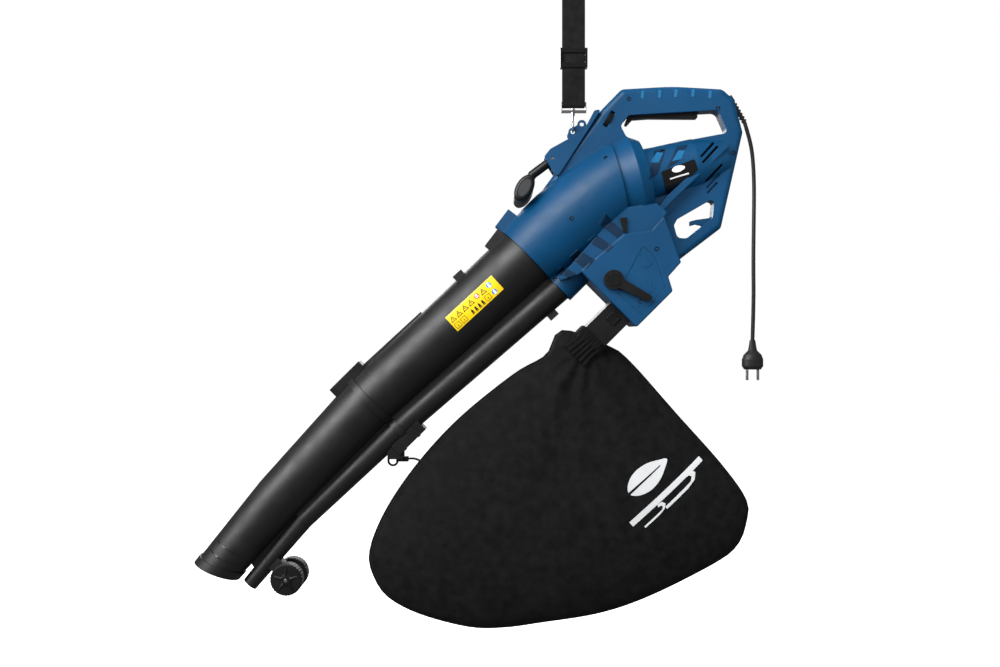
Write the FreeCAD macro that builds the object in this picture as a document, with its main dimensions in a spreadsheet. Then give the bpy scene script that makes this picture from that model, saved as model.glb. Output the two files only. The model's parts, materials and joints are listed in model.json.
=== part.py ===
"""Electric leaf blower and vacuum with a shoulder strap, a two-part suction tube and a debris bag.

Millimetres, +Z up.  X runs along the machine, the grip end at +X and the nozzle at -X.  Y is the
width, with the operator's left at -Y.  The origin is the point where the shoulder holds the strap.
"""

import math
import os

import FreeCAD
import Part
import Sketcher

Vector = FreeCAD.Vector
Placement = FreeCAD.Placement
Rotation = FreeCAD.Rotation

SIZES = {
    # frame of the machine, measured from the held point of the strap
    "collar_x": -82.8,
    "collar_z": -480.9,
    "collar_tilt": 45.0,
    "motor_x": 92.0,
    "motor_z": -346.7,
    "motor_tilt": 14.0,
    "wall": 2.6,
    "fit_gap": 0.3,
    "seat_gap": 0.05,
    # suction tube and the blow tube under it
    "upper_tube_angle": 42.6,
    "upper_tube_length": 374.0,
    "lower_tube_angle": 46.7,
    "lower_tube_length": 238.0,
    "nozzle_angle": 49.5,
    "nozzle_length": 168.0,
    "mouth_slant": 18.0,
    "tube_wall": 2.2,
    "collar_tube_radius": 56.0,
    "joint_tube_radius": 50.0,
    "bend_tube_radius": 44.0,
    "mouth_tube_radius": 40.0,
    "blow_collar_radius": 25.0,
    "blow_joint_radius": 22.0,
    "blow_bend_radius": 17.0,
    "blow_end_radius": 13.5,
    "blow_end_gap": 9.0,
    "blow_short": 19.0,
    "sleeve_length": 22.0,
    "rail_height": 5.0,
    "rail_width": 9.0,
    "clip_width": 38.0,
    "clip_screw_radius": 3.2,
    "clip_screw_length": 10.0,
    "lip_height": 2.4,
    # wheels at the nozzle
    "wheel_radius": 28.0,
    "wheel_width": 25.0,
    "wheel_gap": 28.0,
    "cap_radius": 7.0,
    "cap_height": 2.5,
    "cap_gap": 0.4,
    "axle_radius": 3.0,
    "axle_drop": 44.0,
    "axle_back": 57.0,
    # fan and motor
    "drum_radius": 76.0,
    "drum_small_radius": 62.5,
    "impeller_radius": 56.0,
    "impeller_disc": 2.0,
    "impeller_width": 26.0,
    "impeller_blades": 12,
    "blade_thickness": 1.8,
    "shaft_radius": 4.0,
    "motor_case_radius": 44.0,
    "stator_radius": 36.0,
    "stator_length": 44.0,
    "rotor_gap": 0.8,
    "armature_radius": 22.0,
    "commutator_radius": 12.5,
    "bearing_radius": 11.0,
    "bearing_width": 7.0,
    "cradle_thickness": 4.5,
    "cradle_length": 32.0,
    "shaft_length": 167.0,
    "commutator_length": 18.0,
    "armature_spare": 4.0,
    "brush_width": 10.0,
    "brush_reach": 34.0,
    "nut_radius": 7.0,
    "nut_length": 6.0,
    # handle and body frame
    "grip_half_width": 18.0,
    "grip_round": 11.0,
    "grip_length": 177.5,
    "grip_depth": 42.0,
    "grip_top_z": -184.5,
    "grip_front_x": 83.9,
    "opening_height": 46.0,
    "box_half_width": 58.0,
    "selector_x": 64.8,
    "selector_z": -524.6,
    "box_mouth": 29.0,
    "box_floor": 86.0,
    # controls
    "trigger_width": 16.0,
    "pin_radius": 2.0,
    "pin_length": 28.0,
    "switch_length": 34.0,
    "switch_width": 18.0,
    "switch_height": 14.0,
    "board_length": 50.0,
    "board_width": 24.0,
    "board_height": 1.6,
    "chip_length": 18.0,
    "chip_width": 16.0,
    "chip_height": 6.4,
    "dial_radius": 14.0,
    "dial_width": 7.0,
    "dial_boss": 4.0,
    "dial_x": 61.3,
    "dial_z": -240.2,
    "lever_hub_radius": 17.0,
    "lever_length": 72.0,
    "lever_rest": 28.0,
    "lever_lift": 11.6,
    "lever_cap_height": 1.2,
    "flap_shaft_radius": 5.0,
    "shaft_spare": 7.0,
    # bag
    "chute_depth": 84.0,
    "chute_height": 47.0,
    "chute_length": 118.0,
    "chute_inserted": 36.0,
    "chute_wall": 2.4,
    "chute_low_edge": 72.0,
    "latch_size": 18.0,
    "latch_rise": 3.2,
    "latch_rib": 1.0,
    "latch_pitch": 3.0,
    "band_width": 16.0,
    "band_thickness": 4.0,
    "bag_width": 670.0,
    "bag_height": 547.0,
    "bag_thickness": 92.0,
    "bag_wall": 3.0,
    # strap, hook and second handle
    "strap_width": 40.0,
    "strap_thickness": 2.0,
    "strap_bar_z": -212.0,
    "slider_z": -130.4,
    "slider_rim": 4.2,
    "slider_depth": 19.2,
    "slider_height": 34.0,
    "slider_window": 18.0,
    "slider_bar": 10.0,
    "hook_cheek": 2.0,
    "hook_base": 4.0,
    "hook_depth": 9.0,
    "bar_radius": 4.0,
    "hook_wire": 2.2,
    "lug_hole_x": -1.5,
    "lug_hole_z": -260.4,
    "lug_hole_radius": 3.7,
    "lug_thickness": 5.0,
    "arm_radius": 8.0,
    "arm_pin_radius": 3.0,
    "grip_bar_x": -88.0,
    "grip_bar_z": -366.0,
    "grip_bar_length": 118.0,
    # mains lead
    "cord_radius": 3.5,
    "plug_width": 37.6,
    "plug_length": 46.0,
    "plug_pin_radius": 2.4,
    "plug_pin_spacing": 19.0,
    "plug_pin_length": 19.0,
}

doc = FreeCAD.newDocument("LeafBlower")
sheet = doc.addObject("Spreadsheet::Sheet", "Sizes")
for row, (alias, value) in enumerate(SIZES.items(), start=1):
    sheet.set(f"A{row}", alias)
    sheet.set(f"B{row}", str(value))
    sheet.setAlias(f"B{row}", alias)
doc.recompute()

pieces = []


def size(alias):
    """The value that the sheet holds for one alias."""
    return float(getattr(sheet, alias))


def piece(item, label):
    """Name a document object as a finished sub-part."""
    item.Label = label
    pieces.append(item)
    return item


def modelled(label, shape, placement=None):
    """A sub-part whose shape is worked out with Part's own functions."""
    item = doc.addObject("Part::Feature", label)
    item.Shape = shape
    if placement is not None:
        item.Placement = placement
    return piece(item, label)


def bound(kind, name, placement, **expressions):
    """A Part primitive with its sizes bound to the sheet."""
    item = doc.addObject(kind, name)
    for prop, expression in expressions.items():
        item.setExpression(prop, expression)
    item.Placement = placement
    return item


def ring_body(label, placement, outer, length, inner=None):
    """A body padded from a sketched disc or ring, about its own Z."""
    body = doc.addObject("PartDesign::Body", label)
    sketch = body.newObject("Sketcher::SketchObject", f"{label}_circles")
    plane = [item for item in body.Origin.OriginFeatures if item.Role == "XY_Plane"][0]
    sketch.AttachmentSupport = [(plane, "")]
    sketch.MapMode = "FlatFace"
    circles = {"outer": outer}
    if inner is not None:
        circles["inner"] = inner
    for start, (name, radius) in zip((2.0, 1.0), circles.items()):
        circle = sketch.addGeometry(Part.Circle(Vector(), Vector(0, 0, 1), start), False)
        sketch.addConstraint(Sketcher.Constraint("Coincident", circle, 3, -1, 1))
        row = sketch.addConstraint(Sketcher.Constraint("Radius", circle, start))
        sketch.renameConstraint(row, name)
        sketch.setExpression(f"Constraints.{name}", radius)
    pad = body.newObject("PartDesign::Pad", f"{label}_pad")
    pad.Profile = sketch
    pad.setExpression("Length", length)
    body.Placement = placement
    return piece(body, label)


def rod(name, radius, height, placement):
    """A cylinder along its own Z, with sheet expressions for its sizes."""
    return bound("Part::Cylinder", name, placement, Radius=radius, Height=height)


def block(name, length, width, height, placement):
    """A box from its own corner, with sheet expressions for its sizes."""
    return bound("Part::Box", name, placement, Length=length, Width=width, Height=height)


def cut(name, base, tool):
    """Base with the tool taken away."""
    item = doc.addObject("Part::Cut", name)
    item.Base = base
    item.Tool = tool
    return item


def fuse(name, shapes):
    """Several objects joined into one."""
    item = doc.addObject("Part::MultiFuse", name)
    item.Shapes = shapes
    return item


def spot(x, z, y=0.0):
    """A point given by its side-view place and its width."""
    return Vector(x, y, z)


def facing(direction, base):
    """A placement whose own Z points along a direction."""
    return Placement(base, Rotation(Vector(0, 0, 1), direction))


def across(x, z, y):
    """A placement whose own Z runs along +Y, starting at y."""
    return facing(Vector(0, 1, 0), spot(x, z, y))


def down_left(angle):
    """The unit vector that points to -X and down at an angle below the horizontal."""
    turn = math.radians(angle)
    return Vector(-math.cos(turn), 0, -math.sin(turn))


def above(angle):
    """The unit vector square to down_left, pointing up and to -X."""
    turn = math.radians(angle)
    return Vector(-math.sin(turn), 0, math.cos(turn))


def tube_frame(base, angle):
    """Own X down along a tube, own Z out through its upper side."""
    axes = Rotation(down_left(angle), Vector(0, -1, 0), above(angle), "ZXY")
    return Placement(base, axes)


def ring_wire(centre, normal, radius):
    """A circle as a wire."""
    return Part.Wire(Part.makeCircle(radius, centre, normal))


def lofted(wires):
    """A solid through closed wires, with straight sides between them."""
    return Part.makeLoft(wires, True, True)


def smooth_lofted(wires):
    """A solid through closed wires, with curved sides."""
    return Part.makeLoft(wires, True, False)


def rounded_wire(points, radius, y):
    """A closed outline in the side view, at width y, with every corner rounded."""
    count = len(points)
    corners = []
    for index, here in enumerate(points):
        before = Vector(points[index - 1][0], y, points[index - 1][1])
        after = Vector(points[(index + 1) % count][0], y, points[(index + 1) % count][1])
        corner = Vector(here[0], y, here[1])
        arm_in = (before - corner).normalize()
        arm_out = (after - corner).normalize()
        half = arm_in.getAngle(arm_out) / 2
        wanted = here[2] if len(here) > 2 else radius
        room = 0.48 * min((before - corner).Length, (after - corner).Length)
        reach = min(wanted / math.tan(half), room)
        bend = reach * math.tan(half)
        middle = corner + (arm_in + arm_out).normalize() * (bend / math.sin(half) - bend)
        corners.append((corner + arm_in * reach, middle, corner + arm_out * reach))
    edges = []
    for index, (start, middle, end) in enumerate(corners):
        edges.append(Part.Arc(start, middle, end).toShape())
        edges.append(Part.LineSegment(end, corners[(index + 1) % count][0]).toShape())
    return Part.Wire(edges)


def slab(points, radius, low, high):
    """An outline in the side view given a width from low to high."""
    face = Part.Face(rounded_wire(points, radius, low))
    return face.extrude(Vector(0, high - low, 0))


def rim_rounded(shape, low, high, radius):
    """A slab with the long edges of both sides rounded."""
    edges = []
    for edge in shape.Edges:
        box = edge.BoundBox
        flat = abs(box.YMax - box.YMin) < 1e-4
        on_side = abs(box.YMin - low) < 1e-4 or abs(box.YMin - high) < 1e-4
        if flat and on_side:
            edges.append(edge)
    return shape.makeFillet(radius, edges)


def turned(profile, base, direction):
    """A profile of (along, radius) pairs turned about an axis."""
    points = [Vector(radius, 0, along) for along, radius in profile]
    face = Part.Face(Part.makePolygon(points + points[:1]))
    solid = face.revolve(Vector(0, 0, 0), Vector(0, 0, 1), 360)
    solid.Placement = facing(direction, base)
    return solid


def biggest(shape, count=1):
    """The largest solids of a shape, without the slivers that a cut leaves."""
    solids = sorted(shape.Solids, key=lambda solid: solid.Volume, reverse=True)[:count]
    if count == 1:
        return solids[0]
    return Part.makeCompound(solids)


def own_box(frame, low, high):
    """A box between two corners that are given in a frame of its own."""
    solid = Part.makeBox(high[0] - low[0], high[1] - low[1], high[2] - low[2], Vector(*low))
    solid.Placement = frame
    return solid


# Places that several pieces share.
wall = size("wall")
gap = size("fit_gap")
collar = spot(size("collar_x"), size("collar_z"))
motor = spot(size("motor_x"), size("motor_z"))
motor_axis = down_left(size("motor_tilt")) * -1
joint = collar + down_left(size("upper_tube_angle")) * size("upper_tube_length")
EYE_BAR = Vector(36.8, 0, -99.9)
bend = joint + down_left(size("lower_tube_angle")) * size("lower_tube_length")
mouth = bend + down_left(size("nozzle_angle")) * size("nozzle_length")
joint_tilt = (size("upper_tube_angle") + size("lower_tube_angle")) / 2
bend_tilt = (size("lower_tube_angle") + size("nozzle_angle")) / 2
selector = spot(size("selector_x"), size("selector_z"))
box_frame = tube_frame(selector, size("collar_tilt"))


def on_motor(along, out=0.0, y=0.0):
    """A point on or beside the motor axis."""
    return motor + motor_axis * along + above(size("motor_tilt")) * out + Vector(0, y, 0)


def in_box(along, up, y=0.0):
    """A point in the outlet box, along the chute (towards the bag) and up from the selector."""
    return box_frame.multVec(Vector(along, -y, up))


def below(centre, angle, big, small, spare=0.0):
    """Centre of the blow tube, which touches the underside of the suction tube."""
    return centre - above(angle) * (big + small - size("tube_wall") + spare)


# --- housing -------------------------------------------------------------------------------------

BARREL_MIDDLE = spot(2.5, -407.0)
BARREL_MIDDLE_TILT = 30.0
BARREL_MIDDLE_RADIUS = 72.0
REAR_TOP = (282.5, -205.3)
REAR_KNEE = (297.4, -262.5)
REAR_FOOT = (258.9, -431.3)
REAR_HEEL = (180.7, -491.0)
WINDOW = [(247, -378), (243, -414), (197, -450, 9), (181, -449, 9), (175, -427), (181, -416)]


def barrel(inset):
    """The inlet duct from the tube collar to the fan."""
    tilt = size("collar_tilt")
    first = size("collar_tube_radius") + 2 * wall - inset
    return smooth_lofted([
        ring_wire(collar, down_left(tilt), first),
        ring_wire(BARREL_MIDDLE, down_left(BARREL_MIDDLE_TILT), BARREL_MIDDLE_RADIUS - inset),
        ring_wire(on_motor(-14), motor_axis, size("drum_radius") - 4 - inset),
    ])


def drum(inset):
    """The fan casing, a drum with a bevel on each side, about the motor axis."""
    small = size("drum_small_radius")
    big = size("drum_radius")
    profile = [
        (-41 + inset, 0),
        (-41 + inset, small - 16 - inset),
        (-25 + inset, small - inset),
        (17, big - inset),
        (36 - inset, big - 12 - inset),
        (36 - inset, 0),
    ]
    return turned(profile, motor, motor_axis)


def motor_case(inset):
    """The motor's casing, behind the fan."""
    radius = size("motor_case_radius")
    profile = [
        (30 - inset, 0),
        (30 - inset, radius + 4 - inset),
        (58, radius + 2 - inset),
        (126, radius - inset),
        (182 - inset, radius - 14 - inset),
        (182 - inset, 0),
    ]
    return turned(profile, motor, motor_axis)


def frame_outline():
    """The side view of the spine, the grip and the rear upright in one."""
    front = size("grip_front_x")
    top = size("grip_top_z")
    back = front + size("grip_length")
    return [
        (-40, -425),
        (-82, -400),
        (47.4, -223.9, 30),
        (front, top - 2, 14),
        ((front + back) / 2, top + 3, 400),
        (back, top - 2, 16),
        REAR_TOP,
        REAR_KNEE,
        REAR_FOOT,
        REAR_HEEL,
        (150, -440),
        (90, -420),
    ]


def hand_outline(spare=0.0):
    """The opening under the grip."""
    front = size("grip_front_x")
    top = size("grip_top_z")
    lower = top - size("grip_depth")
    back = front + size("grip_length")
    floor = lower - size("opening_height")
    return [
        (front - 3 + spare, lower - 25, 10),
        (front + 12 + spare, lower - 7 - spare, 9),
        (back - 9 - spare, lower + 2 - spare, 12),
        (back + 9 - spare, lower - 38 + spare, 7),
        (back - 55, lower - 50 + spare),
        (front + 31 + spare, floor - 24 + spare, 4),
        (front + 6 + spare, floor + 4 + spare, 12),
    ]


def outlet_outline(inset):
    """The outlet box in its own frame: along towards the bag, and up."""
    mouth_side = size("box_mouth") - inset
    floor = -size("box_floor") + inset
    return [
        (mouth_side, 51 - inset),
        (mouth_side, floor),
        (-59 + inset, floor, 6),
        (-71 + inset, -63 + inset),
        (-104 + inset, -61 + inset),
        (-140, 16),
        (-107, 14 - inset),
        (-69, 43 - inset),
    ]


def outlet_box(inset):
    """The box under the fan that turns the air to the bag or to the blow tube."""
    half = size("box_half_width") - inset
    corners = []
    for corner in outlet_outline(inset):
        place = in_box(corner[0], corner[1])
        corners.append((place.x, place.z) + tuple(corner[2:]))
    solid = slab(corners, 3.0, -half, half)
    if inset:
        return solid
    return rim_rounded(solid, -half, half, 2.5)


def blow_socket(inset):
    """The short duct from the outlet box to the blow tube."""
    radius = size("blow_collar_radius") + 2 * wall - inset
    tilt = size("collar_tilt")
    start = below(collar, tilt, size("collar_tube_radius"), size("blow_collar_radius"))
    direction = down_left(tilt) * -1
    shift = -inset if inset else 0.0
    return Part.makeCylinder(radius, 84 - 2 * shift, start + direction * shift, direction)


SCROLL = [(-34, -528), (62, -420), (80, -400), (140, -392), (158, -408), (130, -446), (84, -452), (6, -514)]


def scroll():
    """The wall between the fan, the inlet duct and the outlet box."""
    half = size("box_half_width") - 6
    return slab(SCROLL, 3.0, -half, half)


def plain_plate():
    """Spine, grip and rear upright before rounding."""
    half = size("grip_half_width")
    return slab(frame_outline(), 8.0, -half, half)


def frame_plate():
    """Spine, grip and rear upright as one rounded plate with both openings through it."""
    half = size("grip_half_width")
    plate = rim_rounded(plain_plate(), -half, half, size("grip_round"))
    plate = plate.cut(slab(hand_outline(), 8.0, -half - 1, half + 1))
    plate = plate.cut(slab(WINDOW, 6.0, -half - 1, half + 1))
    return plate


def grip_hollow():
    """Room in the grip for the switch and the lead."""
    half = size("grip_half_width") - wall
    front = size("grip_front_x")
    top = size("grip_top_z")
    lower = top - size("grip_depth")
    back = front + size("grip_length")
    outline = [
        (front + 12, lower + 6),
        (front + 8, top - 10),
        (back + 4, top - 12),
        (back + 26, lower - 8),
        (back + 18, lower - 12),
        (back - 2, lower + 8),
    ]
    return slab(outline, 4.0, -half, half)


def housing_outer():
    """The whole outer body before it is hollowed."""
    half = size("grip_half_width")
    latch = own_box(tube_frame(collar, 52.8), (-46, -15, 40), (-8, 15, 76))
    beam = slab(BEAM, 2.0, -half - 20, half + 20)
    hook = slab(LEAD_HOOK, 1.5, -4, 4)
    parts = [drum(0), motor_case(0), frame_plate(), outlet_box(0), blow_socket(0), scroll()]
    return barrel(0).multiFuse(parts + [latch, beam, hook]).removeSplitter()


def housing_inner():
    """The air ways and the motor room."""
    neck = Part.makeCylinder(30, 70, on_motor(0, -34), above(size("motor_tilt")) * -1)
    parts = [drum(wall), motor_case(wall), grip_hollow(), outlet_box(wall), blow_socket(wall), neck]
    return barrel(wall).multiFuse(parts)


DIAL_ANGLE = 60.0
DIAL_DEPTH = 9.0
dial_middle = spot(size("dial_x"), size("dial_z"), DIAL_DEPTH - size("grip_half_width"))


def dial_slot():
    """The slot that the speed wheel stands out of, with its axle's bore."""
    reach = size("dial_radius") + 1
    half = size("dial_width") / 2 + 0.6
    frame = tube_frame(dial_middle, DIAL_ANGLE)
    mouth_cut = own_box(frame, (-reach, 0, -half), (reach, 60, half))
    axis = above(DIAL_ANGLE)
    pocket = Part.makeCylinder(reach, 2 * half, dial_middle - axis * half, axis)
    bore = Part.makeCylinder(size("pin_radius"), 2 * half + 8, dial_middle - axis * (half + 4), axis)
    return mouth_cut.multiFuse([pocket, bore])


def vent_slots():
    """Cooling slots in both sides of the motor casing, stopped short of its middle."""
    slots = []
    for along, out, length in (
        (147, 15, 38), (149, 5.4, 42), (149.5, -26.6, 40), (146.3, -39.2, 33), (142.3, -50.5, 25)
    ):
        frame = tube_frame(on_motor(along, out), 47)
        for near, far in ((-60, -13), (13, 60)):
            slots.append(own_box(frame, (-length / 2, near, -2), (length / 2, far, 2)))
    return slots


BEAM = [(264, -282), (267, -292), (167, -388), (150, -406), (144, -400), (160, -378)]
LEAD_HOOK = [
    (250, -407), (246, -421), (232, -428), (215, -424), (205, -427), (205, -419), (216, -416), (238, -413),
]
LOUVRES = [
    [(-34, -512), (-22, -501), (1, -514), (-11, -525)],
    [(-6, -490), (6, -476), (33, -490), (17, -505)],
    [(24, -464), (36, -451), (66, -467), (54, -477)],
    [(42, -430), (50, -411), (76, -434), (84, -442), (76, -447)],
]
LOUVRE_DEPTH = 1.3


def louvre_cuts():
    """Shallow stepped recesses in the skin of the inlet duct."""
    skin = barrel(-0.5).cut(barrel(LOUVRE_DEPTH))
    half = size("drum_radius") + 5
    return [skin.common(slab(outline, 1.5, -half, half)) for outline in LOUVRES]


SELECTOR_PLATE = [(115.6, -465.8), (137, -486), (154, -538), (114.5, -585.5), (71.5, -547)]
RELIEF_AXIS = Vector(0.538, 0, -0.843).normalize()
RELIEF_RADIUS = 6.2
RELIEF_BURIED = 10.0
RELIEF_LENGTH = 44.0
relief_foot = spot(279.5, -206.5)
trigger_pivot = spot(110.0, -223.5)


def rod_shape(radius, middle, half):
    """A cylinder across the machine, centred on its middle point."""
    return Part.makeCylinder(radius, 2 * half, middle - Vector(0, half, 0), Vector(0, 1, 0))


def build_housing():
    """Both halves of the housing, split at the middle plane."""
    outer = housing_outer()
    hollow = housing_inner()
    mouth_low = size("chute_low_edge") + gap
    mouth_high = mouth_low - size("chute_height") - 2 * gap
    half = size("chute_depth") / 2 + gap
    chute_mouth = own_box(box_frame, (0, -half, -mouth_low), (60, half, -mouth_high))
    tube_mouth = Part.makeCylinder(
        size("collar_tube_radius") + gap, 24, collar - down_left(45) * 20, down_left(45)
    )
    shaft_hole = Part.makeCylinder(
        size("flap_shaft_radius") + size("seat_gap"), 160, selector + Vector(0, -80, 0), Vector(0, 1, 0)
    )
    slot_half = size("trigger_width") / 2 + 0.5
    trigger_slot = own_box(Placement(), (95, -slot_half, -245), (221, slot_half, -206))
    pin_hole = rod_shape(size("pin_radius"), trigger_pivot, 14)
    lead_hole = Part.makeCylinder(RELIEF_RADIUS, RELIEF_BURIED, relief_foot, RELIEF_AXIS * -1)
    lead_room = Part.makeCylinder(RELIEF_RADIUS + gap, 60, relief_foot, RELIEF_AXIS)
    plate_room = slab(SELECTOR_PLATE, 4.0, -size("box_half_width") - 5, -size("box_half_width") + 1.6)
    shell = outer.cut(hollow.multiFuse([
        chute_mouth, tube_mouth, shaft_hole, trigger_slot, pin_hole, lead_hole, lead_room,
        plate_room, dial_slot(), *vent_slots(), *louvre_cuts()
    ]))
    far = 400
    left = shell.common(Part.makeBox(900, far, 900, Vector(-400, -far, -900)))
    right = shell.common(Part.makeBox(900, far, 900, Vector(-400, 0, -900)))
    modelled("housing_left", left.removeSplitter())
    modelled("housing_right", right.removeSplitter())


build_housing()


# --- pieces on the outside of the housing --------------------------------------------------------

NAMEPLATE = [(148.3, -337), (206.7, -314.7), (212.9, -333.3), (163.4, -381.8)]
GRILLE = [(76, -418), (82.3, -442), (97.5, -448), (138.4, -437), (150, -411)]
BRACKET = [(-53, -307), (-42, -293.5), (16.5, -261.3), (35, -226.4), (47.4, -223.9), (-30, -344)]
LUG_BASE = [(-12, -268), (-8, -258), (18, -240), (26, -252), (22, -290), (4, -296)]
arm_root = spot(-38, -310)
grip_bar = spot(size("grip_bar_x"), size("grip_bar_z"))
lug_hole = spot(size("lug_hole_x"), size("lug_hole_z"))
lug_spare = lug_hole + Vector(16.0, 0, 13.6)


def build_trim():
    """Nameplate, selector plate and the outlet grille under the fan."""
    skin = motor_case(-0.6).cut(motor_case(0))
    outer = housing_outer()
    modelled("nameplate", biggest(skin.common(slab(NAMEPLATE, 3.0, -80, -5)).cut(outer)))
    side = size("box_half_width")
    modelled("selector_plate", slab(SELECTOR_PLATE, 4.0, -side + 0.8, -side + 1.6))
    half = side - 1
    grille = slab(GRILLE, 2.0, -half, half)
    for x in (88, 103, 118, 133):
        grille = grille.cut(own_box(Placement(), (x, -half - 1, -460), (x + 9, -half + 7, -400)))
        grille = grille.cut(own_box(Placement(), (x, half - 7, -460), (x + 9, half + 1, -400)))
    modelled("outlet_grille", biggest(grille.cut(outer), 2))


def build_lug():
    """The strap lug, a plate with two holes."""
    half = size("lug_thickness") / 2
    rim = size("lug_hole_radius") + 4.0
    plate = slab(LUG_BASE, 4.0, -half, half)
    for hole in (lug_hole, lug_spare):
        plate = plate.fuse(rod_shape(rim, hole, half))
    for hole in (lug_hole, lug_spare):
        plate = plate.cut(rod_shape(size("lug_hole_radius"), hole, half + 1))
    lug = biggest(plate.cut(plain_plate()).removeSplitter())
    modelled("strap_lug", lug)
    return lug


def build_bracket(lug):
    """The front bracket that carries the lug and the second handle."""
    half = size("grip_half_width") + 5
    body = slab(BRACKET, 5.0, -half, half)
    cheek = size("arm_radius") + 2.3
    room = own_box(Placement(), (-90, -cheek, -350), (-27, cheek, -310))
    room = room.fuse(own_box(Placement(), (-90, -cheek, -311), (-38, cheek, -280)))
    room = room.fuse(rod_shape(9.6, arm_root, cheek))
    body = body.cut(room).cut(plain_plate()).cut(barrel(0)).cut(lug)
    pin = size("arm_pin_radius")
    modelled("front_bracket", biggest(body.cut(rod_shape(pin, arm_root, half + 1))))
    start = across(arm_root.x, arm_root.z, 1 - half)
    ring_body("arm_pivot", start, "Sizes.arm_pin_radius", "2 * (Sizes.grip_half_width + 4)")


def build_second_handle():
    """The arm and cross grip in front of the bracket."""
    radius = size("arm_radius")
    elbow = spot(-73, -336)
    arm = Part.makeCylinder(radius, (elbow - arm_root).Length, arm_root, elbow - arm_root)
    arm = arm.fuse(Part.makeSphere(radius, elbow))
    arm = arm.fuse(Part.makeCylinder(radius, (grip_bar - elbow).Length, elbow, grip_bar - elbow))
    arm = arm.fuse(rod_shape(9.0, arm_root, radius + 2))
    half = size("grip_bar_length") / 2
    oval = Part.Ellipse(Vector(0, 0, 0), 25, 15)
    face = Part.Face(Part.Wire(oval.toShape()))
    grip = face.extrude(Vector(0, 0, 2 * half))
    grip = grip.makeFillet(6.0, grip.Edges)
    turn = Rotation(Vector(-0.5, 0, -0.866), Vector(0.866, 0, -0.5), Vector(0, 1, 0), "ZXY")
    grip.Placement = Placement(grip_bar - Vector(0, half, 0), turn)
    grip = grip.fuse(arm).cut(rod_shape(size("arm_pin_radius") + size("seat_gap"), arm_root, radius + 3))
    cap_face = Part.Face(Part.Wire(Part.Ellipse(Vector(0, 0, 0), 16.5, 8.5).toShape()))
    pads = []
    for start in (-half, half - 2.0):
        pad = cap_face.extrude(Vector(0, 0, 2.0))
        pad.Placement = Placement(grip_bar + Vector(0, start, 0), turn)
        pads.append(pad)
    modelled("grip_pads", Part.makeCompound(pads))
    modelled("second_handle", grip.cut(pads[0]).cut(pads[1]).removeSplitter())


SWITCH_CORNER = Vector(150, -9, -211)
BOARD_CORNER = Vector(196, -12, -206)


def build_controls():
    """Trigger, its pin, the speed wheel, its axle, the switch and the circuit board."""
    half = size("trigger_width") / 2
    outline = [
        (89, -248), (94, -250), (104, -239), (132, -237), (218, -237.5), (218, -227),
        (213, -219), (104, -219), (98, -229),
    ]
    trigger = slab(outline, 2.5, -half, half)
    modelled("trigger", trigger.cut(rod_shape(size("pin_radius") + size("seat_gap"), trigger_pivot, 20)))
    pin = across(trigger_pivot.x, trigger_pivot.z, -size("pin_length") / 2)
    ring_body("trigger_pin", pin, "Sizes.pin_radius", "Sizes.pin_length")
    axis = above(DIAL_ANGLE)
    width = size("dial_width")
    radius = size("dial_radius")
    start = dial_middle - axis * (width / 2)
    dial = Part.makeCylinder(radius, width, start, axis)
    for step in range(16):
        turn = math.radians(step * 22.5)
        place = Vector(radius * math.cos(turn), radius * math.sin(turn), -1)
        notch = Part.makeCylinder(1.0, width + 2, place)
        notch.Placement = facing(axis, start).multiply(notch.Placement)
        dial = dial.cut(notch)
    bore = Part.makeCylinder(size("pin_radius") + size("seat_gap"), width + 2, start - axis, axis)
    modelled("speed_dial", dial.cut(bore))
    foot = facing(axis, start - axis * size("dial_boss"))
    ring_body("dial_axle", foot, "Sizes.pin_radius", "Sizes.dial_width + 2 * Sizes.dial_boss")
    corner = Placement(SWITCH_CORNER, Rotation())
    body = block("switch", "Sizes.switch_length", "Sizes.switch_width", "Sizes.switch_height", corner)
    piece(body, "switch")
    corner = Placement(BOARD_CORNER, Rotation())
    board = block("board", "Sizes.board_length", "Sizes.board_width", "Sizes.board_height", corner)
    corner = Placement(BOARD_CORNER + Vector(8, 4, size("board_height")), Rotation())
    chip = block("chip", "Sizes.chip_length", "Sizes.chip_width", "Sizes.chip_height", corner)
    piece(fuse("speed_board", [board, chip]), "speed_board")


def build_selector():
    """The lever on the outlet box, its shaft and the flap inside."""
    side = size("box_half_width")
    rest = math.radians(-size("lever_rest"))
    tip = selector + Vector(math.cos(rest), 0, math.sin(rest)) * size("lever_length")
    out = Vector(-math.sin(rest), 0, math.cos(rest))
    hub = rod_shape(size("lever_hub_radius"), selector - Vector(0, side + 6.0, 0), 5.0)
    points = []
    for base, offset in ((selector, 9.5), (tip, 5.7), (tip, -5.7), (selector, -9.5)):
        corner = base + out * offset
        points.append((corner.x, corner.z))
    arm = slab(points, 3.0, -side - 11, -side - 3)
    shaft_radius = size("flap_shaft_radius")
    lever = hub.fuse(arm).cut(rod_shape(shaft_radius, selector - Vector(0, side, 0), 9.0))
    modelled("selector_lever", lever.removeSplitter())
    rise = size("lever_lift") + size("lever_cap_height") / 2
    face = across(selector.x, selector.z, -side - rise)
    ring_body("lever_cap", face, "Sizes.lever_hub_radius - 5", "Sizes.lever_cap_height")
    near = -side - 9
    shaft = rod_shape(shaft_radius, selector, side + 9)
    start = across(selector.x, selector.z, near)
    length = "2 * Sizes.box_half_width + Sizes.shaft_spare"
    ring_body("selector_shaft", start, "Sizes.flap_shaft_radius", length)
    half = side - wall - 1.5
    frame = Placement(selector, Rotation(Vector(0, 1, 0), -100))
    flap = own_box(frame, (shaft_radius - 1.5, -half, -1.5), (40, half, 1.5)).cut(shaft)
    modelled("diverter_flap", flap)


# --- motor and fan -------------------------------------------------------------------------------

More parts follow.
